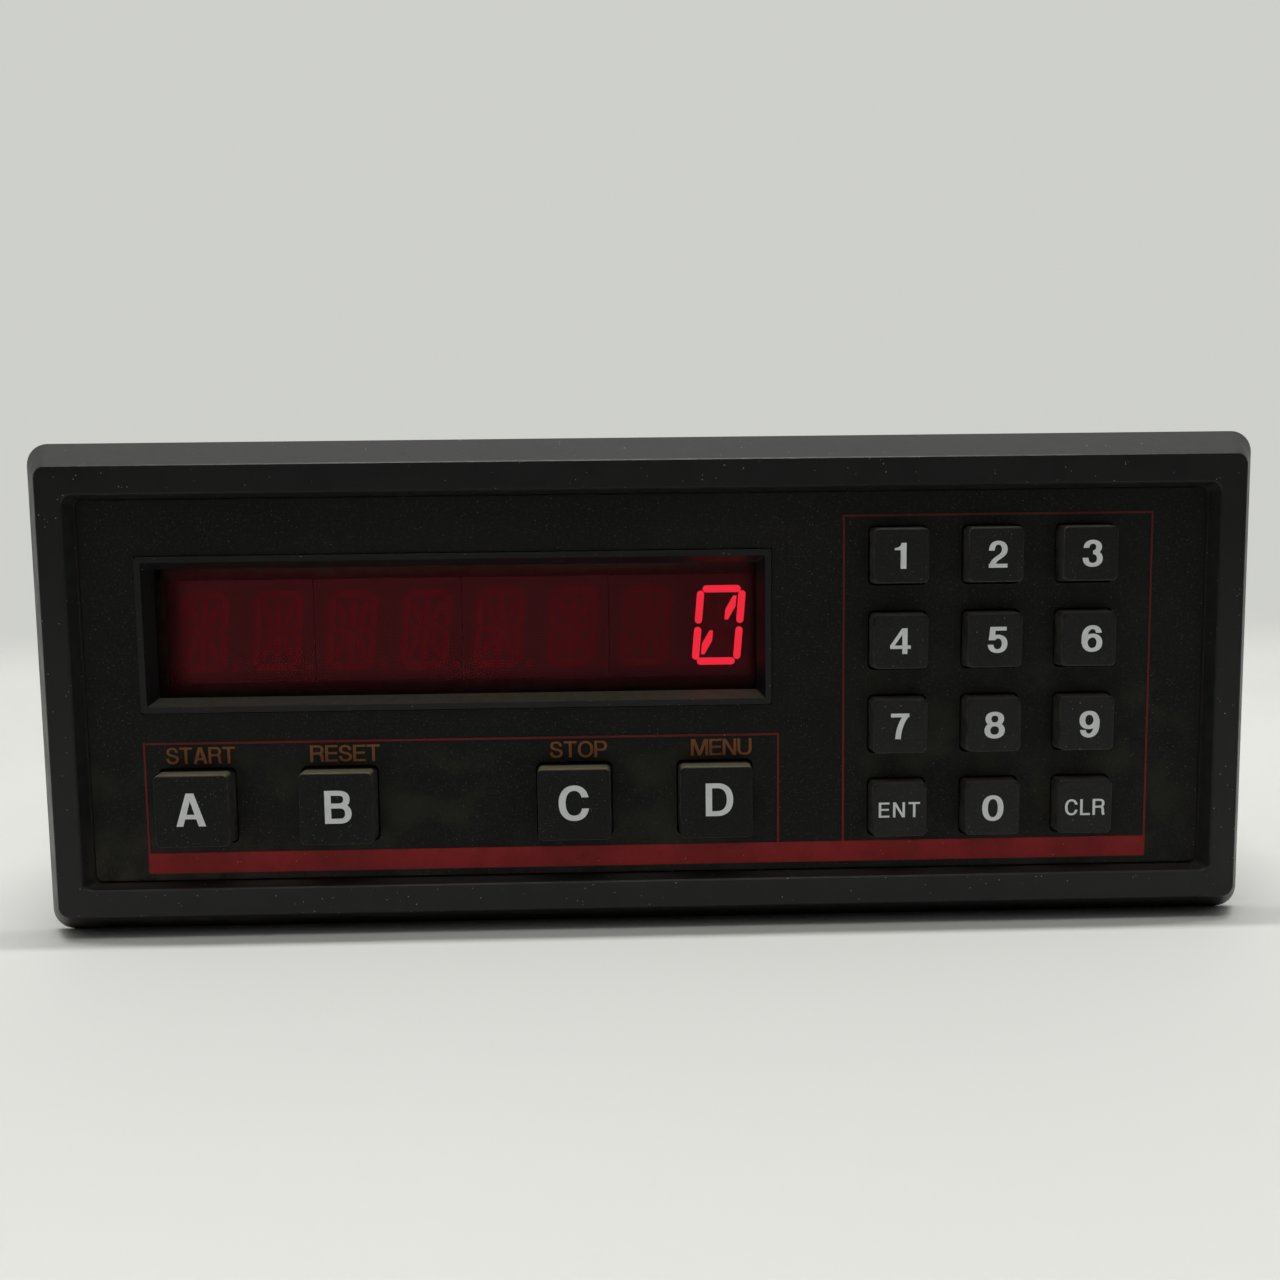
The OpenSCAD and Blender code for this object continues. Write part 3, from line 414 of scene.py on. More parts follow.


# %% [markdown]
# ## Bezel, faceplate and keys
#
# The bezel is a black moulding with a fine matt grain. The faceplate is a matt film, a little
# olive where dust has been wiped into it. The keys are a smoother moulding, slightly lighter,
# with a pale grey on their sides that is painted light, and on the function keys a yellowish
# dust on top that is partly painted light.

# %% Black mouldings
BROWN, OLIVE, SIDE_LIGHT_GREY = (0.06, 0.048, 0.03), (0.019, 0.019, 0.0115), (0.05, 0.048, 0.042)
FILL, YELLOW, MOTTLE = (0.035, 0.032, 0.026), (0.28, 0.25, 0.16), (0.034, 0.034, 0.028)
# Painted light on these mouldings: the pale grey on upright sides and the fill in the bezel's
# gaps are painted light, and the dust film on faces that look upward is partly painted light.
bezel_black = surface("bezel_plastic", (0.0042, 0.0043, 0.0046), 0.44, gloss=0.31,
                      grain=((2600, 0.012), (600, 0.006)), patch=(0.0055, 0.0055, 0.0056),
                      film=0.08, speck_share=0.04,
                      stains=[(painted_wall_light, SIDE_LIGHT_GREY), (ledge_dust, FILL), (corner_dust, BROWN),
                              (painted_gap_light, FILL)])
plate_black = surface("faceplate_film", (0.0033, 0.0033, 0.0026), 0.6, gloss=0.175,
                      grain=((3200, 0.008),), patch=(0.0052, 0.0049, 0.0036), patch_scale=45,
                      speck_share=0.17, speck_colour=(0.09, 0.09, 0.067),
                      stains=[(fine_dust, MOTTLE), (pad_dust, OLIVE),
                              (row_dust, OLIVE), (corner_dust, BROWN), (painted_side_light, SIDE_LIGHT_GREY)])
# The window frame's thick dust film is partly a painted highlight on its lower bevel.
window_black = surface("window_plastic", (0.0042, 0.0043, 0.0045), 0.42, gloss=0.27,
                       grain=((2600, 0.006),), film=0.4, speck_share=0.05)
key_black = surface("key_plastic", (0.0044, 0.0045, 0.0047), 0.42, gloss=0.25,
                    grain=((2600, 0.008),), patch=(0.0064, 0.0064, 0.006), patch_scale=160,
                    film=0.3, speck_share=0.3, speck_colour=(0.17, 0.165, 0.145),
                    stains=[(fine_dust, MOTTLE), (painted_side_light, SIDE_LIGHT_GREY)])
row_black = surface("function_key_plastic", (0.0038, 0.0039, 0.0041), 0.42, gloss=0.16,
                    grain=((2600, 0.008),), patch=(0.0052, 0.0052, 0.005), patch_scale=160,
                    speck_share=0.25, speck_colour=(0.17, 0.165, 0.145),
                    stains=[(fine_dust, MOTTLE), (painted_side_light, SIDE_LIGHT_GREY), (top_dust_and_light, YELLOW)])
key_names = [name for name in nodes if name.startswith("key_") and name != "key_switches"]
dress(bezel_black, "bezel_frame")
dress(plate_black, "faceplate")
dress(window_black, "window_frame")
dress(key_black, *key_names)
dress(row_black, "key_a", "key_b", "key_c", "key_d")

# %% [markdown]
# ## Print
#
# The red bar and outlines are screen-printed: an even colour, slightly worn, with the matt skin
# of ink. The thin outlines took less ink than the bar, so they are darker; they grow darker
# still towards the top, which is painted shade. Captions over the function keys are an amber
# ink, and the legends on the keys are white.


# %% Inks
def thin_print_and_shade(tree):
    """How much weaker the outlines are than the bar, whose top is 27 mm below the middle, with
    painted shade that deepens towards the top.
    """
    weaker = stretch(tree, span(tree, "Z", -24, 12), 0.5, 0.95)
    return both(tree, span(tree, "Z", -27.4, -26.9), weaker)


# The outlines' darker red, deepest towards the top, is partly painted shade.
red_ink = surface("red_print", (0.23, 0.0115, 0.0135), 0.6, gloss=0.2, grain=((2500, 0.006),),
                  patch=(0.195, 0.0095, 0.011), patch_scale=300, speck_share=0.04,
                  stains=[(thin_print_and_shade, (0.068, 0.011, 0.009))])
amber_ink = surface("amber_print", (0.2, 0.072, 0.018), 0.55, gloss=0.25, grain=((2500, 0.004),),
                    patch=(0.16, 0.055, 0.014), patch_scale=400)
white_ink = surface("white_print", (0.72, 0.74, 0.74), 0.5, gloss=0.3, grain=((2500, 0.004),),
                    patch=(0.66, 0.68, 0.68), patch_scale=400)
dress(red_ink, "printed_lines")

# %% [markdown]
# ## The display behind its red filter
#
# A red filter lets only red through. The clear sheet is made of two things at once: a large
# share of plain transparency, and a dark red body that catches a little light; its faint glow
# is painted light. Behind it the modules show a dull red field with faint unlit bars, and the
# last digit glows. A glowing bar gives light of its own, so its colour is set as emission. The
# dull red field and the unlit bars give no light, so their glow is painted light, standing in
# for room light that comes back through the filter.


# %% Glass and glow
def light_up(material, colour, strength, fade=None):
    """Makes a material give light; fade is a function that gives its share in the tree."""
    tree = material.node_tree
    shader = tree.nodes["Principled BSDF"]
    shader.inputs["Emission Color"].default_value = (*colour, 1)
    shader.inputs["Emission Strength"].default_value = strength
    if fade:
        join(tree, mix_colour(tree, fade(tree), (0.0, 0.0, 0.0), colour),
             shader.inputs["Emission Color"])
    return material


def glass_sheet(name, colour, alpha, rough, gloss, glow_colour, strength, fade):
    """A tinted sheet that is seen through, with a faint glow that is painted light."""
    material = surface(name, colour, rough, gloss=gloss, patch=[c * 1.1 for c in colour],
                       patch_scale=90)
    light_up(material, glow_colour, strength, fade)
    material.node_tree.nodes["Principled BSDF"].inputs["Alpha"].default_value = alpha
    return material


def glow(name, colour, strength, body, fade=None):
    """A matt diffuser that gives light."""
    return light_up(surface(name, body, 0.6, gloss=0.05), colour, strength, fade)


# %% [markdown]
# ## The red field
#
# The field is darker along its edges, where the window's frame stands before it: painted shade
# of the frame. It is darker also in the joints between the modules. So it isn't one emission
# colour: a fade in millimetres from the panel's middle dims it there.


# %% Filter, modules and segments
def painted_field_shade(tree):
    """1 in the middle of the red field, falling to 0 along the window's edges: painted shade of
    its frame.
    """
    sides = both(tree, span(tree, "X", -81.6, -78), span(tree, "X", 18.8, 16.4))
    ends = both(tree, span(tree, "Z", 24.5, 17.5), span(tree, "Z", -1.2, 2.6))
    mottle = stretch(tree, clouds(tree, 130, 2), 0.88, 1.0)
    to_left = stretch(tree, span(tree, "X", 18, -30), 0.75, 1.0)
    return both(tree, sides, ends, mottle, to_left)


def front_fade(tree):
    """The same on faces that look forward, 0 on the sides of a module, in its dark joints."""
    return both(tree, painted_field_shade(tree), opposite(tree, off_front(tree)))


# The filter's faint red glow is painted light, dimmed by the painted shade of the window's frame.
dress(glass_sheet("red_filter", (0.012, 0.0008, 0.0012), alpha=0.25, rough=0.34, gloss=0.1,
                  glow_colour=(1.0, 0.1, 0.13), strength=0.034, fade=painted_field_shade), "red_filter")
module_names = [name for name in nodes if name.startswith("display_module")]
# The modules' dull red glow is painted light: unlit modules give none.
dress(glow("display_body_painted_glow", (1.0, 0.16, 0.19), 0.024, (0.008, 0.0008, 0.001), front_fade),
      *module_names)
# The unlit bars' faint glow is painted light as well.
dress(glow("unlit_bars_painted_glow", (1.0, 0.035, 0.055), 0.06, (0.01, 0.001, 0.0014), painted_field_shade),
      "unlit_segments")
dress(glow("lit_bars", (1.0, 0.0225, 0.0515), 1.5, (0.2, 0.015, 0.02)), "lit_segments")

# %% [markdown]
# ## Case, clamps and terminals
#
# Behind the panel the instrument is plainer: black anodised sheet, bare aluminium clamps, zinc
# screws, green terminal blocks. Metal is the same recipe with the metal share turned up.

# %% Metals and the rear
case_black = surface("case_anodised", (0.016, 0.016, 0.018), 0.42, gloss=0.5, metal=0.3,
                     grain=((1500, 0.006),), patch=(0.024, 0.024, 0.026), film=0.2,
                     speck_share=0.04)
bare_aluminium = surface("bare_aluminium", (0.56, 0.57, 0.58), 0.38, metal=1.0,
                         grain=((1800, 0.012),), patch=(0.48, 0.49, 0.5), film=0.08)
zinc = surface("zinc_plate", (0.6, 0.6, 0.58), 0.3, metal=1.0, grain=((2400, 0.006),),
               patch=(0.52, 0.5, 0.46), patch_scale=250)
brass = surface("brass", (0.62, 0.43, 0.16), 0.3, metal=1.0, grain=((2400, 0.006),),
                patch=(0.5, 0.34, 0.13), patch_scale=250)
rubber = surface("gasket_foam", (0.016, 0.016, 0.016), 0.8, gloss=0.3,
                 grain=((1400, 0.06), (3500, 0.03)), film=0.2)
terminal_green = surface("terminal_plastic", (0.012, 0.17, 0.065), 0.4, gloss=0.45,
                         grain=((2200, 0.008),), patch=(0.01, 0.14, 0.05), film=0.15)
dress(case_black, "case_sleeve", "rear_panel")
dress(bare_aluminium, "side_clamp_left", "side_clamp_right", "heat_sink")
dress(zinc, "jack_screws", "rear_panel_screws", "board_screws", "front_board_screws",
      "terminal_screws", "fuse_clips")
dress(surface("blackened_screw", (0.012, 0.012, 0.012), 0.4, grain=((2400, 0.006),)),
      "bezel_screws")
dress(brass, "earth_stud", "board_standoffs")
dress(rubber, "panel_gasket")
dress(terminal_green, "supply_terminals", "relay_terminals", "signal_terminals")

# %% [markdown]
# ## What the vents let one see
#
# Light falls through the vent slots onto the boards, so they have their finishes too: green
# solder mask, black chips, varnished iron, yellow winding tape, sleeved capacitors.

# %% Inner pieces
board_green = surface("solder_mask", (0.012, 0.1, 0.035), 0.35, gloss=0.5,
                      grain=((900, 0.02),), patch=(0.016, 0.14, 0.05), patch_scale=500)
chip_black = surface("chip_body", (0.014, 0.014, 0.015), 0.55, grain=((2200, 0.01),))
plug_black = surface("plug_plastic", (0.018, 0.018, 0.019), 0.45, grain=((2200, 0.008),))
core_iron = surface("varnished_core", (0.07, 0.06, 0.052), 0.45, metal=0.6,
                    grain=((3000, 0.03),), patch=(0.1, 0.07, 0.045), patch_scale=200)
coil_tape = surface("coil_tape", (0.55, 0.36, 0.05), 0.4, grain=((700, 0.03),),
                    patch=(0.48, 0.3, 0.04), patch_scale=150)
sleeve_blue = surface("capacitor_sleeve", (0.016, 0.03, 0.1), 0.25, grain=((500, 0.02),))
relay_blue = surface("relay_cover", (0.02, 0.075, 0.22), 0.3, grain=((2200, 0.006),))
ribbon_grey = surface("ribbon_cable", (0.34, 0.34, 0.35), 0.5, grain=((1200, 0.03),))
dress(board_green, "front_board", "main_board")
dress(chip_black, "driver_chips", "logic_chips", "voltage_regulator")
dress(plug_black, "key_switches", "ribbon_connectors")
dress(core_iron, "transformer_core")
dress(coil_tape, "transformer_coil")
dress(sleeve_blue, "filter_capacitors")
dress(relay_blue, "output_relays")
dress(ribbon_grey, "ribbon_cable")
dress(surface("fuse_glass", (0.62, 0.63, 0.62), 0.12, gloss=0.6), "fuse")

# %% [markdown]
# ## A signwriter's alphabet
#
# Blender's own face isn't the plain grotesque that instruments carry, so the letters are drawn
# here. Each is a skeleton on a ten by ten grid, written as a signwriter would draw it: corners
# as x,y pairs, and after a ~ the two handles and the end of a curve. A pen that is wider than it
# is high follows the skeleton. A stroke ends square, or cut level (h) or upright (v), or closes
# on itself (o). A slash is a slanting bar, # fills a shape and - cuts one out, in tenths of the
# letter's height. The number is the letter's width for a height of 100.

# %% Skeletons
ALPHABET = {
    "0": (81, ["5,10 ~ 8.5,10 10,7.9 10,5 ~ 10,2.1 8.5,0 5,0 ~ 1.5,0 0,2.1 0,5"
               " ~ 0,7.9 1.5,10 5,10 o"]),
    "1": (45, ["# 0,7.2 0,8 1,8.15 1.8,8.5 2.3,9.1 2.55,10 4.5,10 4.5,0 2.3,0 2.3,7.2"]),
    "2": (70, ["h 0,6.6 ~ 0,8.7 1.8,10 5,10 ~ 8.2,10 10,8.8 10,7 ~ 10,3.6 1.4,3.8 0.5,0.2 h",
               "0,0 10,0"]),
    "3": (75, ["h 0.5,7.4 ~ 0.7,9.1 2.4,10 4.9,10 ~ 7.5,10 9.3,9.2 9.3,7.7"
               " ~ 9.3,6.3 7.7,5.45 5.2,5.45 v",
               "v 5.2,5.45 ~ 8.2,5.45 10,4.4 10,2.7 ~ 10,1 8,0 5,0 ~ 2.1,0 0.1,1 0,3.1 h"]),
    "4": (80, ["# 0,2 0,3.3 4.6,10 6.7,10 6.7,3.3 8,3.3 8,2 6.7,2 6.7,0 4.7,0 4.7,2",
               "- 1.75,3.3 4.7,3.3 4.7,7.6"]),
    "5": (75, ["9.3,10 1.6,10 0.7,4.9 h",
               "h 1.2,4.9 ~ 2,6 3.4,6.5 5,6.5 ~ 8.2,6.5 10,5.3 10,3.3 ~ 10,1.2 8,0 5,0"
               " ~ 2.2,0 0.2,1 0,2.9 h"]),
    "6": (78, ["h 9.5,7.5 ~ 9.2,9.1 7.6,10 5.4,10 ~ 1.8,10 0,7.9 0,4.7 ~ 0,1.7 1.7,0 5,0"
               " ~ 8.2,0 10,1.2 10,3.2 ~ 10,5.1 8.2,6.3 5.4,6.3 ~ 2.6,6.3 0.6,5 0.2,3.6"]),
    "7": (71, ["0,10 10,10", "9.3,9.5 ~ 6.6,7.4 4,4 3.5,0"]),
    "8": (75, ["5,10 ~ 7.6,10 9.4,9.2 9.4,7.75 ~ 9.4,6.2 7.5,5.35 5,5.35"
               " ~ 2.5,5.35 0.6,6.2 0.6,7.75 ~ 0.6,9.2 2.4,10 5,10 o",
               "5,5.35 ~ 8,5.35 10,4.4 10,2.65 ~ 10,1 8,0 5,0 ~ 2,0 0,1 0,2.65"
               " ~ 0,4.4 2,5.35 5,5.35 o"]),
    "9": (75, ["h 0.5,2.5 ~ 0.8,0.9 2.4,0 4.6,0 ~ 8.2,0 10,2.1 10,5.3 ~ 10,8.3 8.3,10 5,10"
               " ~ 1.8,10 0,8.8 0,6.8 ~ 0,4.9 1.8,3.7 4.6,3.7 ~ 7.4,3.7 9.4,5 9.8,6.4"]),
    "A": (87, ["# 0,0 3.1,10 5.4,10 8.7,0 6.6,0 5.9,2.2 2.65,2.2 2,0",
               "- 3.1,3.55 5.45,3.55 4.24,7.7"]),
    "B": (79, ["0,0 0,10 5.4,10 ~ 8,10 9.3,9.2 9.3,7.8 ~ 9.3,6.4 8,5.45 5.4,5.45 0,5.45",
               "0,5.45 5.7,5.45 ~ 8.7,5.45 10,4.4 10,2.75 ~ 10,1 8.7,0 5.7,0 0,0"]),
    "C": (83, ["h 9.9,6.9 ~ 9.4,8.8 7.8,10 5.2,10 ~ 1.8,10 0,7.9 0,5 ~ 0,2.1 1.8,0 5.2,0"
               " ~ 7.9,0 9.6,1.2 10,3.2 h"]),
    "D": (82, ["0,0 0,10 4,10 ~ 8,10 10,8 10,5 ~ 10,2 8,0 4,0 0,0 o"]),
    "E": (72, ["10,10 0,10 0,0 10,0", "0,5.2 9.3,5.2"]),
    "L": (65, ["0,10 0,0 10,0"]),
    "M": (102, ["0,0 0,10", "10,0 10,10", "/ 0.9,10 5,0", "/ 9.1,10 5,0"]),
    "N": (80, ["0,0 0,10", "10,0 10,10", "/ 0.3,10 9.7,0"]),
    "O": (92, ["5,10 ~ 8.3,10 10,7.8 10,5 ~ 10,2.2 8.3,0 5,0 ~ 1.7,0 0,2.2 0,5"
               " ~ 0,7.8 1.7,10 5,10 o"]),
    "P": (76, ["0,0 0,10 6,10 ~ 8.8,10 10,8.9 10,7.3 ~ 10,5.6 8.8,4.5 6,4.5 0,4.5"]),
    "R": (80, ["0,0 0,10 6,10 ~ 8.6,10 9.7,9.1 9.7,7.6 ~ 9.7,6.1 8.6,5.1 6,5.1 0,5.1",
               "6,5.1 ~ 8.8,5.1 9.3,4 9.4,2.4 ~ 9.4,1.2 9.5,0.5 9.8,0"]),
    "S": (76, ["h 9.4,7.2 ~ 9.3,9 7.4,10 4.9,10 ~ 2.3,10 0.4,9.2 0.4,7.6 ~ 0.4,6 2,5.6 5,5.1"
               " ~ 8.1,4.6 10,4.2 10,2.6 ~ 10,0.9 7.9,0 5.1,0 ~ 2.1,0 0.1,1 0,3.1 h"]),
    "T": (77, ["0,10 10,10", "5,10 5,0"]),
    "U": (84, ["0,10 0,3.7 ~ 0,1.2 1.7,0 5,0 ~ 8.3,0 10,1.2 10,3.7 10,10"])}
print(len(ALPHABET), "letters and numerals")

# %% [markdown]
# ## From skeleton to ink
#
# The pen leaves a chain of small four-cornered patches along each stroke. A curve is cut into
# short straight steps first. At a corner the patches meet on its bisector, which would reach out
# too far at a sharp one and is held back there.

# %% The pen
GRID, LETTER_HEIGHT = 10, 100
CELL = LETTER_HEIGHT / GRID
CURVE_STEPS = 8
HALF_PEN, SHARPEST_BISECTOR, HALF_SLANT = 0.5, 0.35, 0.56


def pair(token):
    """A corner written as x,y."""
    return Vector([float(v) for v in token.split(",")])


def read_stroke(text):
    """Points of a stroke, how its two ends are cut, and whether it closes."""
    tokens = text.split()
    start = tokens.pop(0) if tokens[0] in "hv" else None
    end = tokens.pop() if tokens[-1] in "hvo" else None
    points = []
    while tokens:
        token = tokens.pop(0)
        if token == "~":
            first, (two, three, four) = points[-1], [pair(tokens.pop(0)) for _ in range(3)]
            for step in range(1, CURVE_STEPS + 1):
                t = step / CURVE_STEPS
                points.append((1 - t) ** 3 * first + 3 * (1 - t) ** 2 * t * two
                              + 3 * (1 - t) * t * t * three + t ** 3 * four)
        else:
            points.append(pair(token))
    if end == "o":
        points.pop()
    return points, (start, end), end == "o"


def pen_patches(points, cuts, closed, pen):
    """Four-cornered patches that a pen leaves, in a space where the pen is round."""
    places = [Vector((p.x / pen.x, p.y / pen.y)) for p in points]
    count = len(places)
    rails = []
    for i, here in enumerate(places):
        before = (here - places[i - 1]).normalized() if i or closed else None
        after = (places[(i + 1) % count] - here).normalized() if i < count - 1 or closed \
            else None
        before, after = before or after, after or before
        along = (before + after).normalized()
        aside = Vector((-along.y, along.x))
        offset = aside * (HALF_PEN / max(along.dot(before), SHARPEST_BISECTOR))
        if not closed and i in (0, count - 1):
            last = i > 0
            if cuts[last]:
                level = Vector((1, 0)) if cuts[last] == "h" else Vector((0, 1))
                offset = level * HALF_PEN / level.dot(aside)
            else:
                here = here + along * (HALF_PEN if last else -HALF_PEN)
        rails.append([Vector((p.x * pen.x, p.y * pen.y)) for p in (here + offset, here - offset)])
    if closed:
        rails.append(rails[0])
    return [[a[1], b[1], b[0], a[0]] for a, b in zip(rails, rails[1:])]


def letter_shapes(sign, pen):
    """Ink patches and cut-outs of one letter, and its width."""
    width, strokes = ALPHABET[sign]
    scale = Vector(((width - pen.x) / GRID, (LETTER_HEIGHT - pen.y) / GRID))
    ink, gaps = [], []
    for stroke in strokes:
        kind, rest = stroke[0], stroke[2:]
        if kind in "#-":
            (ink if kind == "#" else gaps).append([pair(token) * CELL for token in rest.split()])
        elif kind == "/":
            first, last = [pair(token) for token in rest.split()]
            half = pen.x * HALF_SLANT
            (x0, y0), (x1, y1) = ((pen.x / 2 + p.x * scale.x, CELL * p.y) for p in (first, last))
            ink.append([Vector(corner) for corner in
                        ((x0 - half, y0), (x0 + half, y0), (x1 + half, y1), (x1 - half, y1))])
        else:
            points, cuts, closed = read_stroke(stroke)
            points = [pen / 2 + Vector((p.x * scale.x, p.y * scale.y)) for p in points]
            ink += pen_patches(points, cuts, closed, pen)
    return ink, gaps, width


# %% [markdown]
# ## From patches to print
#
# The patches overlap where strokes cross, so a constrained triangulation lays all of them out
# flat at once and keeps the triangles that lie in any patch and in no cut-out. What is left has
# no overlaps and one clean rim, which is pulled back a few hundredths of a millimetre to give
# the ink its thickness.

# %% Lettering
INK = 0.03
MERGE_WITHIN = 1e-4
BODY_OF_NODE = {node: body for body, held in frame["record"]["behaviour"]["bodies"].items()
                for node in held}


def lettering(name, text, box, face_y, body, material, pen, gap=7):
    """Prints a word into a box (left, right, bottom, top, in mm) on an upright face."""
    shapes, spaces, start = [], [], 0
    for sign in text:
        ink, gaps, width = letter_shapes(sign, Vector(pen))
        shapes += [[p + Vector((start, 0)) for p in shape] for shape in ink]
        spaces += [[p + Vector((start, 0)) for p in shape] for shape in gaps]
        start += width + gap
    total = start - gap
    corners, outlines = [], []
    for shape in shapes + spaces:
        area = sum(a.x * b.y - b.x * a.y for a, b in zip(shape, shape[1:] + shape[:1]))
        outlines.append(list(range(len(corners), len(corners) + len(shape))))
        corners += shape if area > 0 else shape[::-1]
    points, _, faces, _, _, owners = delaunay_2d_cdt(corners, [], outlines, 0, MERGE_WITHIN)
    kept = [face for face, held in zip(faces, owners)
            if held and max(held) < len(shapes)]
    left, right, bottom, top = box
    mesh = bmesh.new()
    verts = []
    for p in points:
        spot = at(left + p.x / total * (right - left), 0,
                  bottom + p.y / LETTER_HEIGHT * (top - bottom))
        verts.append(mesh.verts.new((spot.x, face_y - INK * MM, spot.z)))
    for face in kept:
        mesh.faces.new([verts[i] for i in face])
    loose = [v for v in mesh.verts if not v.link_faces]
    bmesh.ops.delete(mesh, geom=loose, context="VERTS")
    grown = bmesh.ops.extrude_face_region(mesh, geom=list(mesh.faces))
    bmesh.ops.translate(mesh, vec=(0, INK * MM, 0),
                        verts=[v for v in grown["geom"] if isinstance(v, bmesh.types.BMVert)])
    bmesh.ops.recalc_face_normals(mesh, faces=list(mesh.faces))
    data = bpy.data.meshes.new(name)
    mesh.to_mesh(data)
    mesh.free()
    data.materials.append(material)
    word = bpy.data.objects.new(name, data)
    bpy.context.scene.collection.objects.link(word)
    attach(word, body)
    return len(data.polygons)


# %% [markdown]
# ## Legends and captions
#
# The keys carry white signs, and amber captions stand over the function keys. Each sign is given
# by how far its box reaches from the middle of its key: the print on the real keys is a little
# off centre, and differently on each.

# %% Signs on the keys, captions on the faceplate
NUMERAL_PEN, LETTER_PEN, SMALL_PEN = (21.5, 14.5), (19, 15), (16.5, 12.5)
# Sign, left, right, bottom and top of its box from the key's middle, pen and letter gap
legends = {
    "key_1": ("1", -1.22, 0.72, -2.14, 2.12, NUMERAL_PEN, 0),
    "key_2": ("2", -1.32, 1.77, -2.17, 2.27, NUMERAL_PEN, 0),
    "key_3": ("3", -1.44, 1.9, -2.24, 2.22, NUMERAL_PEN, 0),
    "key_4": ("4", -1.85, 1.57, -2.05, 2.22, NUMERAL_PEN, 0),
    "key_5": ("5", -1.3, 1.99, -2.12, 2.24, NUMERAL_PEN, 0),
    "key_6": ("6", -1.32, 2.17, -2.17, 2.29, NUMERAL_PEN, 0),
    "key_7": ("7", -1.62, 1.44, -2.15, 2.17, NUMERAL_PEN, 0),
    "key_8": ("8", -1.62, 1.79, -2.3, 2.22, NUMERAL_PEN, 0),
    "key_9": ("9", -1.34, 2.05, -2.4, 2.12, NUMERAL_PEN, 0),
    "key_0": ("0", -1.8, 1.79, -2.14, 2.25, NUMERAL_PEN, 0),
    "key_enter": ("ENT", -3.57, 3.37, -1.24, 1.32, SMALL_PEN, 24),
    "key_clear": ("CLR", -3.47, 3.27, -1.42, 1.32, SMALL_PEN, 17),
    "key_a": ("A", -2.47, 2.37, -2.5, 3.04, LETTER_PEN, 0),
    "key_b": ("B", -1.82, 2.57, -2.45, 3.07, LETTER_PEN, 0),
    "key_c": ("C", -2.57, 2.42, -2.72, 3.27, LETTER_PEN, 0),
    "key_d": ("D", -1.82, 2.75, -2.32, 3.22, LETTER_PEN, 0)}
for key, (sign, left, right, bottom, top, pen, gap) in legends.items():
    low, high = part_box(key)
    x = (low.x + high.x) / 2 / MM
    z = ((low.z + high.z) / 2 - middle_z) / MM
    lettering("legend_" + key, sign, (x + left, x + right, z + bottom, z + top), low.y,
              BODY_OF_NODE[key], white_ink, pen, gap)

plate_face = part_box("faceplate")[0].y
captions = {"START": (-80.85, -69.45), "RESET": (-56.95, -45.3), "STOP": (-16.85, -7.25),
            "MENU": (6.9, 17.15)}
for word, (left, right) in captions.items():
    count = lettering("caption_" + word.lower(), word, (left, right, -12.05, -9.25), plate_face,
                      "housing", amber_ink, SMALL_PEN)
    print(word, count, "faces")

# %% [markdown]
# ## Screw threads
#
# The CAD screws are plain rods. A thread is one ridge wound round a rod, so Geometry Nodes can
# make it from three things: a spiral, a small three-cornered profile, and Curve to Mesh. The
# tree takes the rod's radius, the pitch and the length as inputs, so the same tree serves the
# jack screws and the earth stud.


# %% Thread tree
def thread_tree():
    """A ridge wound round the Y axis from the origin."""
    tree = bpy.data.node_groups.new("thread", "GeometryNodeTree")
    sockets = {}
    for name, kind in (("Radius", "NodeSocketFloat"), ("Pitch", "NodeSocketFloat"),
                       ("Length", "NodeSocketFloat"), ("Ridge", "NodeSocketFloat"),
                       ("Material", "NodeSocketMaterial")):
        sockets[name] = tree.interface.new_socket(name, in_out="INPUT", socket_type=kind)
    tree.interface.new_socket("Geometry", in_out="OUTPUT", socket_type="NodeSocketGeometry")
    given = add(tree, "NodeGroupInput")
    turns = math_node(tree, "DIVIDE", given.outputs["Length"], given.outputs["Pitch"])
    spiral = add(tree, "GeometryNodeCurveSpiral", {"Resolution": 20})
    join(tree, turns, spiral.inputs["Rotations"])
    join(tree, given.outputs["Radius"], spiral.inputs["Start Radius"])
    join(tree, given.outputs["Radius"], spiral.inputs["End Radius"])
    join(tree, given.outputs["Length"], spiral.inputs["Height"])
    profile = add(tree, "GeometryNodeCurvePrimitiveCircle", {"Resolution": 3}, mode="RADIUS")
    join(tree, given.outputs["Ridge"], profile.inputs["Radius"])
    ridge = add(tree, "GeometryNodeCurveToMesh", {"Fill Caps": True})
    join(tree, spiral.outputs["Curve"], ridge.inputs["Curve"])
    join(tree, profile.outputs["Curve"], ridge.inputs["Profile Curve"])
    lie = add(tree, "GeometryNodeTransform", {"Rotation": (-math.pi / 2, 0, 0)})
    join(tree, ridge.outputs["Mesh"], lie.inputs["Geometry"])
    real = add(tree, "GeometryNodeRealizeInstances")
    join(tree, lie.outputs["Geometry"], real.inputs["Geometry"])
    paint = add(tree, "GeometryNodeSetMaterial")
    join(tree, real.outputs["Geometry"], paint.inputs["Geometry"])
    join(tree, given.outputs["Material"], paint.inputs["Material"])
    join(tree, paint.outputs["Geometry"], add(tree, "NodeGroupOutput").inputs[0])
    return tree, {name: socket.identifier for name, socket in sockets.items()}


# %% [markdown]
# ## From tree to plain mesh
#
# A tree works through a modifier on some object. An empty seed object carries it here, its
# inputs are set by their identifiers before anything is evaluated, and the result is read off as
# a plain mesh. The seed is thrown away, and each copy of the mesh is moved to its own screw.


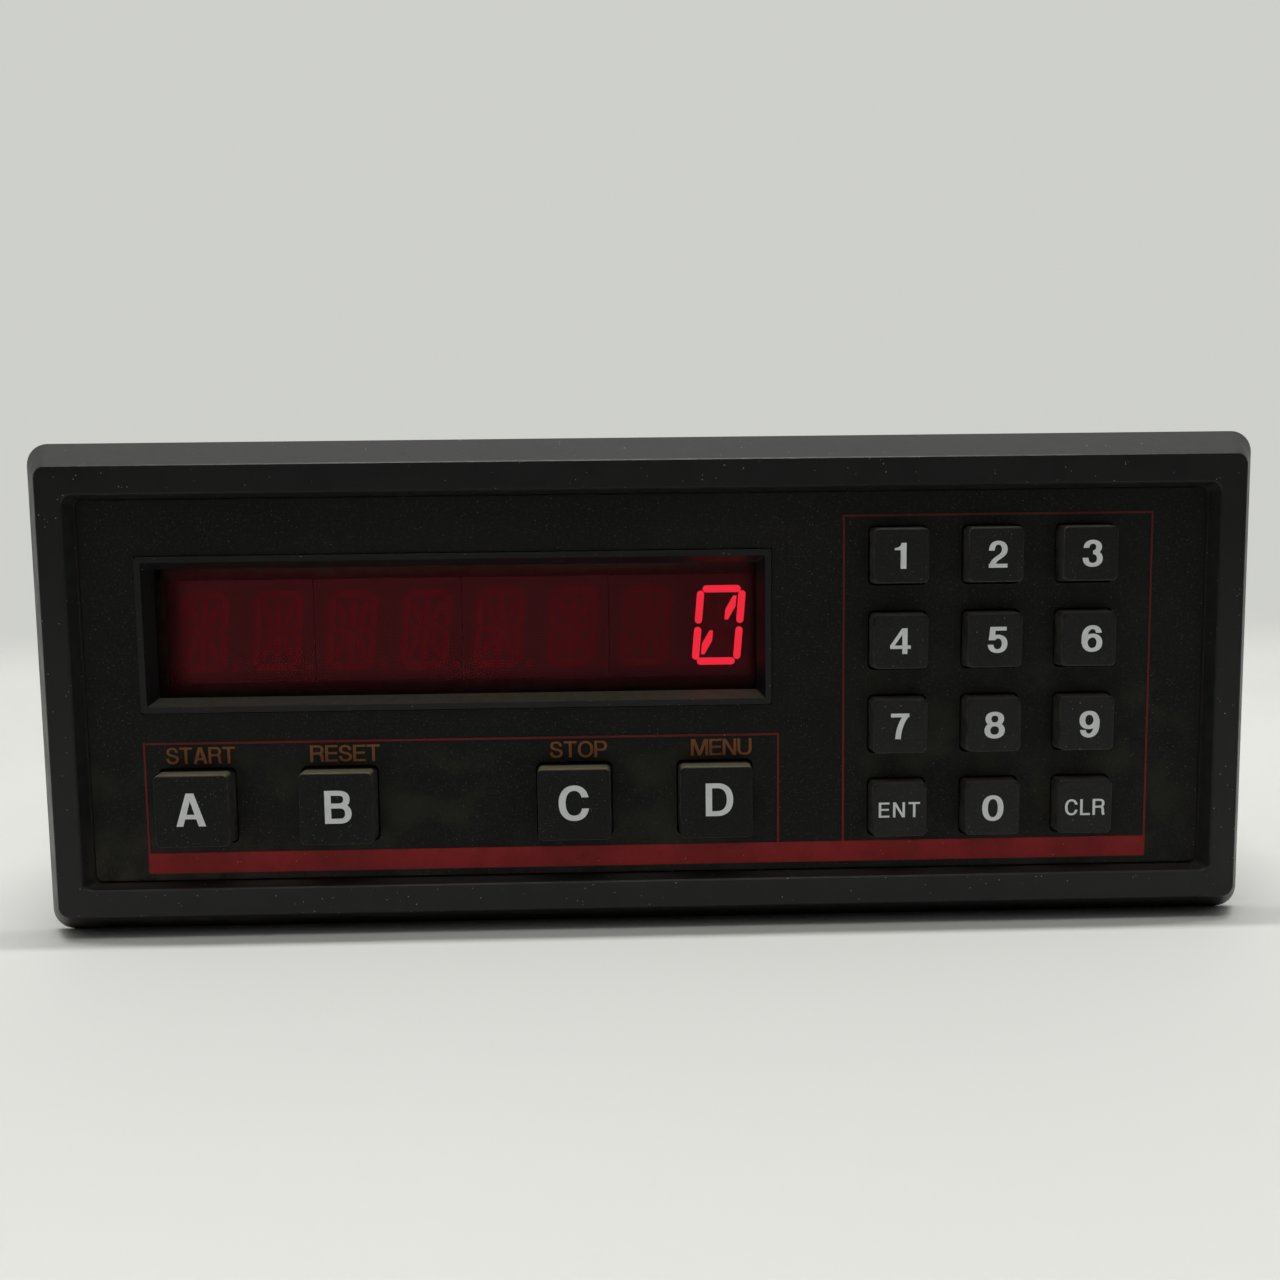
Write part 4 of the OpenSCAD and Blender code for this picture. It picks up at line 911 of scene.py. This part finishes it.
# %% Growing a piece
def grow(name, tree, identifiers, values, moves, body):
    """Runs a tree once and leaves a plain mesh, copied to each of the places."""
    seed = bpy.data.objects.new(name + "_seed", bpy.data.meshes.new(name + "_seed"))
    bpy.context.scene.collection.objects.link(seed)
    modifier = seed.modifiers.new("grow", "NODES")
    modifier.node_group = tree
    for key, value in values.items():
        modifier[identifiers[key]] = value
    seen = seed.evaluated_get(bpy.context.evaluated_depsgraph_get())
    made = bpy.data.meshes.new_from_object(seen)
    bpy.data.objects.remove(seed)
    for number, move in enumerate(moves):
        mesh = made.copy()
        mesh.transform(Matrix.Translation(move))
        piece = bpy.data.objects.new(f"{name}_{number + 1}", mesh)
        bpy.context.scene.collection.objects.link(piece)
        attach(piece, body)
        print(piece.name, len(mesh.polygons), "faces")


# %% [markdown]
# ## Threads on the jack screws and the earth stud
#
# All three are 4 mm screws. A jack screw's thread starts behind its pad and ends before its
# head, so its length comes from the box of the CAD solid; the stud's ends just before its tip.

# %% Threads
THREAD_RADIUS, THREAD_PITCH, RIDGE = 2.0, 0.7, 0.14
JACK_PAD_RADIUS, JACK_HEAD, JACK_START, JACK_END_GAP = 3.5, 3.0, 2.8, 0.4
STUD_THREAD, STUD_TIP = 7.0, 0.5


def thread_values(length, material):
    """The thread tree's inputs for a screw, whose length is in millimetres."""
    return {"Radius": THREAD_RADIUS * MM, "Pitch": THREAD_PITCH * MM, "Length": length * MM,
            "Ridge": RIDGE * MM, "Material": material}


thread, thread_inputs = thread_tree()
jack_low, jack_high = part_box("jack_screws")
jack_z = (jack_low.z + jack_high.z) / 2
jack_length = (jack_high.y - jack_low.y) / MM - JACK_HEAD - JACK_START - JACK_END_GAP
jack_x = jack_high.x - JACK_PAD_RADIUS * MM
grow("jack_thread", thread, thread_inputs, thread_values(jack_length, zinc),
     [Vector((x, jack_low.y + JACK_START * MM, jack_z)) for x in (-jack_x, jack_x)],
     "housing")
stud_low, stud_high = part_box("earth_stud")
grow("earth_thread", thread, thread_inputs, thread_values(STUD_THREAD, brass),
     [Vector(((stud_low.x + stud_high.x) / 2, stud_high.y - (STUD_THREAD + STUD_TIP) * MM,
              (stud_low.z + stud_high.z) / 2))], "housing")

# %% [markdown]
# ## The bench and the wall
#
# The instrument stands on a plain pale bench before a pale wall. One sheet, swept up behind it
# with a curve, gives both without a hard corner. The lamps hardly reach the wall, so to the
# camera and to what is shiny or clear the sheet shows its own colour there, which fades in
# behind the instrument and leaves the bench round it to real light and shadow.

# %% Bench and wall in one sheet
WALL_Y, SWEEP, HALF_WIDTH, NEAR_Y, TOP_Z = 0.66, 0.05, 1.6, -1.2, 1.6
FADE_START, FADE_END = 0.25, 0.62
WALL_COLOUR = (0.62, 0.628, 0.595)
profile = [(NEAR_Y, 0.0), (WALL_Y - SWEEP, 0.0)]
profile += [(WALL_Y - SWEEP + SWEEP * math.sin(a), SWEEP - SWEEP * math.cos(a))
            for a in [math.radians(9 * i) for i in range(1, 10)]]
profile += [(WALL_Y, SWEEP), (WALL_Y, TOP_Z)]
verts = [(x, y, z) for y, z in profile for x in (-HALF_WIDTH, HALF_WIDTH)]
faces = [(2 * i, 2 * i + 1, 2 * i + 3, 2 * i + 2) for i in range(len(profile) - 1)]
sheet_mesh = bpy.data.meshes.new("bench")
sheet_mesh.from_pydata(verts, [], faces)
sheet_mesh.shade_smooth()
bench = bpy.data.objects.new("bench", sheet_mesh)
bpy.context.scene.collection.objects.link(bench)
bench_paint = surface("bench_paint", (0.74, 0.745, 0.71), 0.6, gloss=0.2,
                      patch=(0.71, 0.715, 0.68), patch_scale=4)
tree = bench_paint.node_tree
rays = add(tree, "ShaderNodeLightPath")
shown = math_node(tree, "MAXIMUM", rays.outputs["Is Camera Ray"],
                  math_node(tree, "MAXIMUM", rays.outputs["Is Glossy Ray"],
                            rays.outputs["Is Transmission Ray"]))
far = ramp(tree, part_along(tree, "Y", place(tree)), FADE_START, FADE_END)
own = add(tree, "ShaderNodeEmission", {"Color": (*WALL_COLOUR, 1), "Strength": 1.0})
blend = add(tree, "ShaderNodeMixShader")
join(tree, both(tree, shown, far), blend.inputs["Fac"])
join(tree, tree.nodes["Principled BSDF"].outputs[0], blend.inputs[1])
join(tree, own.outputs[0], blend.inputs[2])
join(tree, blend.outputs[0], tree.nodes["Material Output"].inputs["Surface"])
sheet_mesh.materials.append(bench_paint)
print("bench", 2 * HALF_WIDTH, "m wide, wall at", WALL_Y, "m")

# %% [markdown]
# ## The room
#
# The world fills in light from above and behind, and hardly any from the camera's side, because
# a black front mirrors whatever is there. Seen directly, the room is as pale as the wall all
# round, and only a small share of that reaches what mirrors it.

# %% World
DARK_SIDE, BRIGHT_SIDE, MIRRORED_SHARE = (0.012, 0.012, 0.012), (0.5, 0.5, 0.49), 0.02
world = bpy.data.worlds.new("studio")
bpy.context.scene.world = world
world.use_nodes = True
sky = world.node_tree
direction = add(sky, "ShaderNodeTexCoord").outputs["Generated"]
overhead = ramp(sky, part_along(sky, "Z", direction), 0.35, 0.9)
behind = ramp(sky, part_along(sky, "Y", direction), -0.42, 0.66)
bright = math_node(sky, "MAXIMUM", overhead, behind)
graded = mix_colour(sky, bright, DARK_SIDE, BRIGHT_SIDE)
sight = add(sky, "ShaderNodeLightPath")
seen = math_node(sky, "MAXIMUM", sight.outputs["Is Camera Ray"],
                 sight.outputs["Is Transmission Ray"])
mirrored = math_node(sky, "MULTIPLY", sight.outputs["Is Glossy Ray"], MIRRORED_SHARE)
tone = mix_colour(sky, math_node(sky, "MAXIMUM", seen, mirrored), graded, WALL_COLOUR)
background = sky.nodes["Background"]
join(sky, tone, background.inputs["Color"])
background.inputs["Strength"].default_value = 1.0
bpy.context.scene.view_settings.view_transform = "Standard"
print(len(sky.nodes), "nodes in the world")

# %% [markdown]
# ## Lamps
#
# A long narrow lamp hangs over the instrument, a little behind its face, as a workshop tube
# does. It brightens the upper edges and lays a short dark shadow before the foot. A weaker one
# farther forward draws the thin bright lines along rounded lips and key edges.

# %% Lamps
# Name, length and width in metres, power in watts, and place
LAMPS = (("ceiling_lamp", (1.2, 0.05), 15.2, at(0, 63, 1460)),
         ("front_lamp", (1.2, 0.3), 4.0, at(0, -500, 1460)))
for name, size, power, lamp_place in LAMPS:
    lamp_data = bpy.data.lights.new(name, "AREA")
    lamp_data.shape = "RECTANGLE"
    lamp_data.size, lamp_data.size_y = size
    lamp_data.energy = power
    lamp = bpy.data.objects.new(name, lamp_data)
    lamp.location = lamp_place
    bpy.context.scene.collection.objects.link(lamp)
    print(name, power, "W at", [round(v, 3) for v in lamp_place])
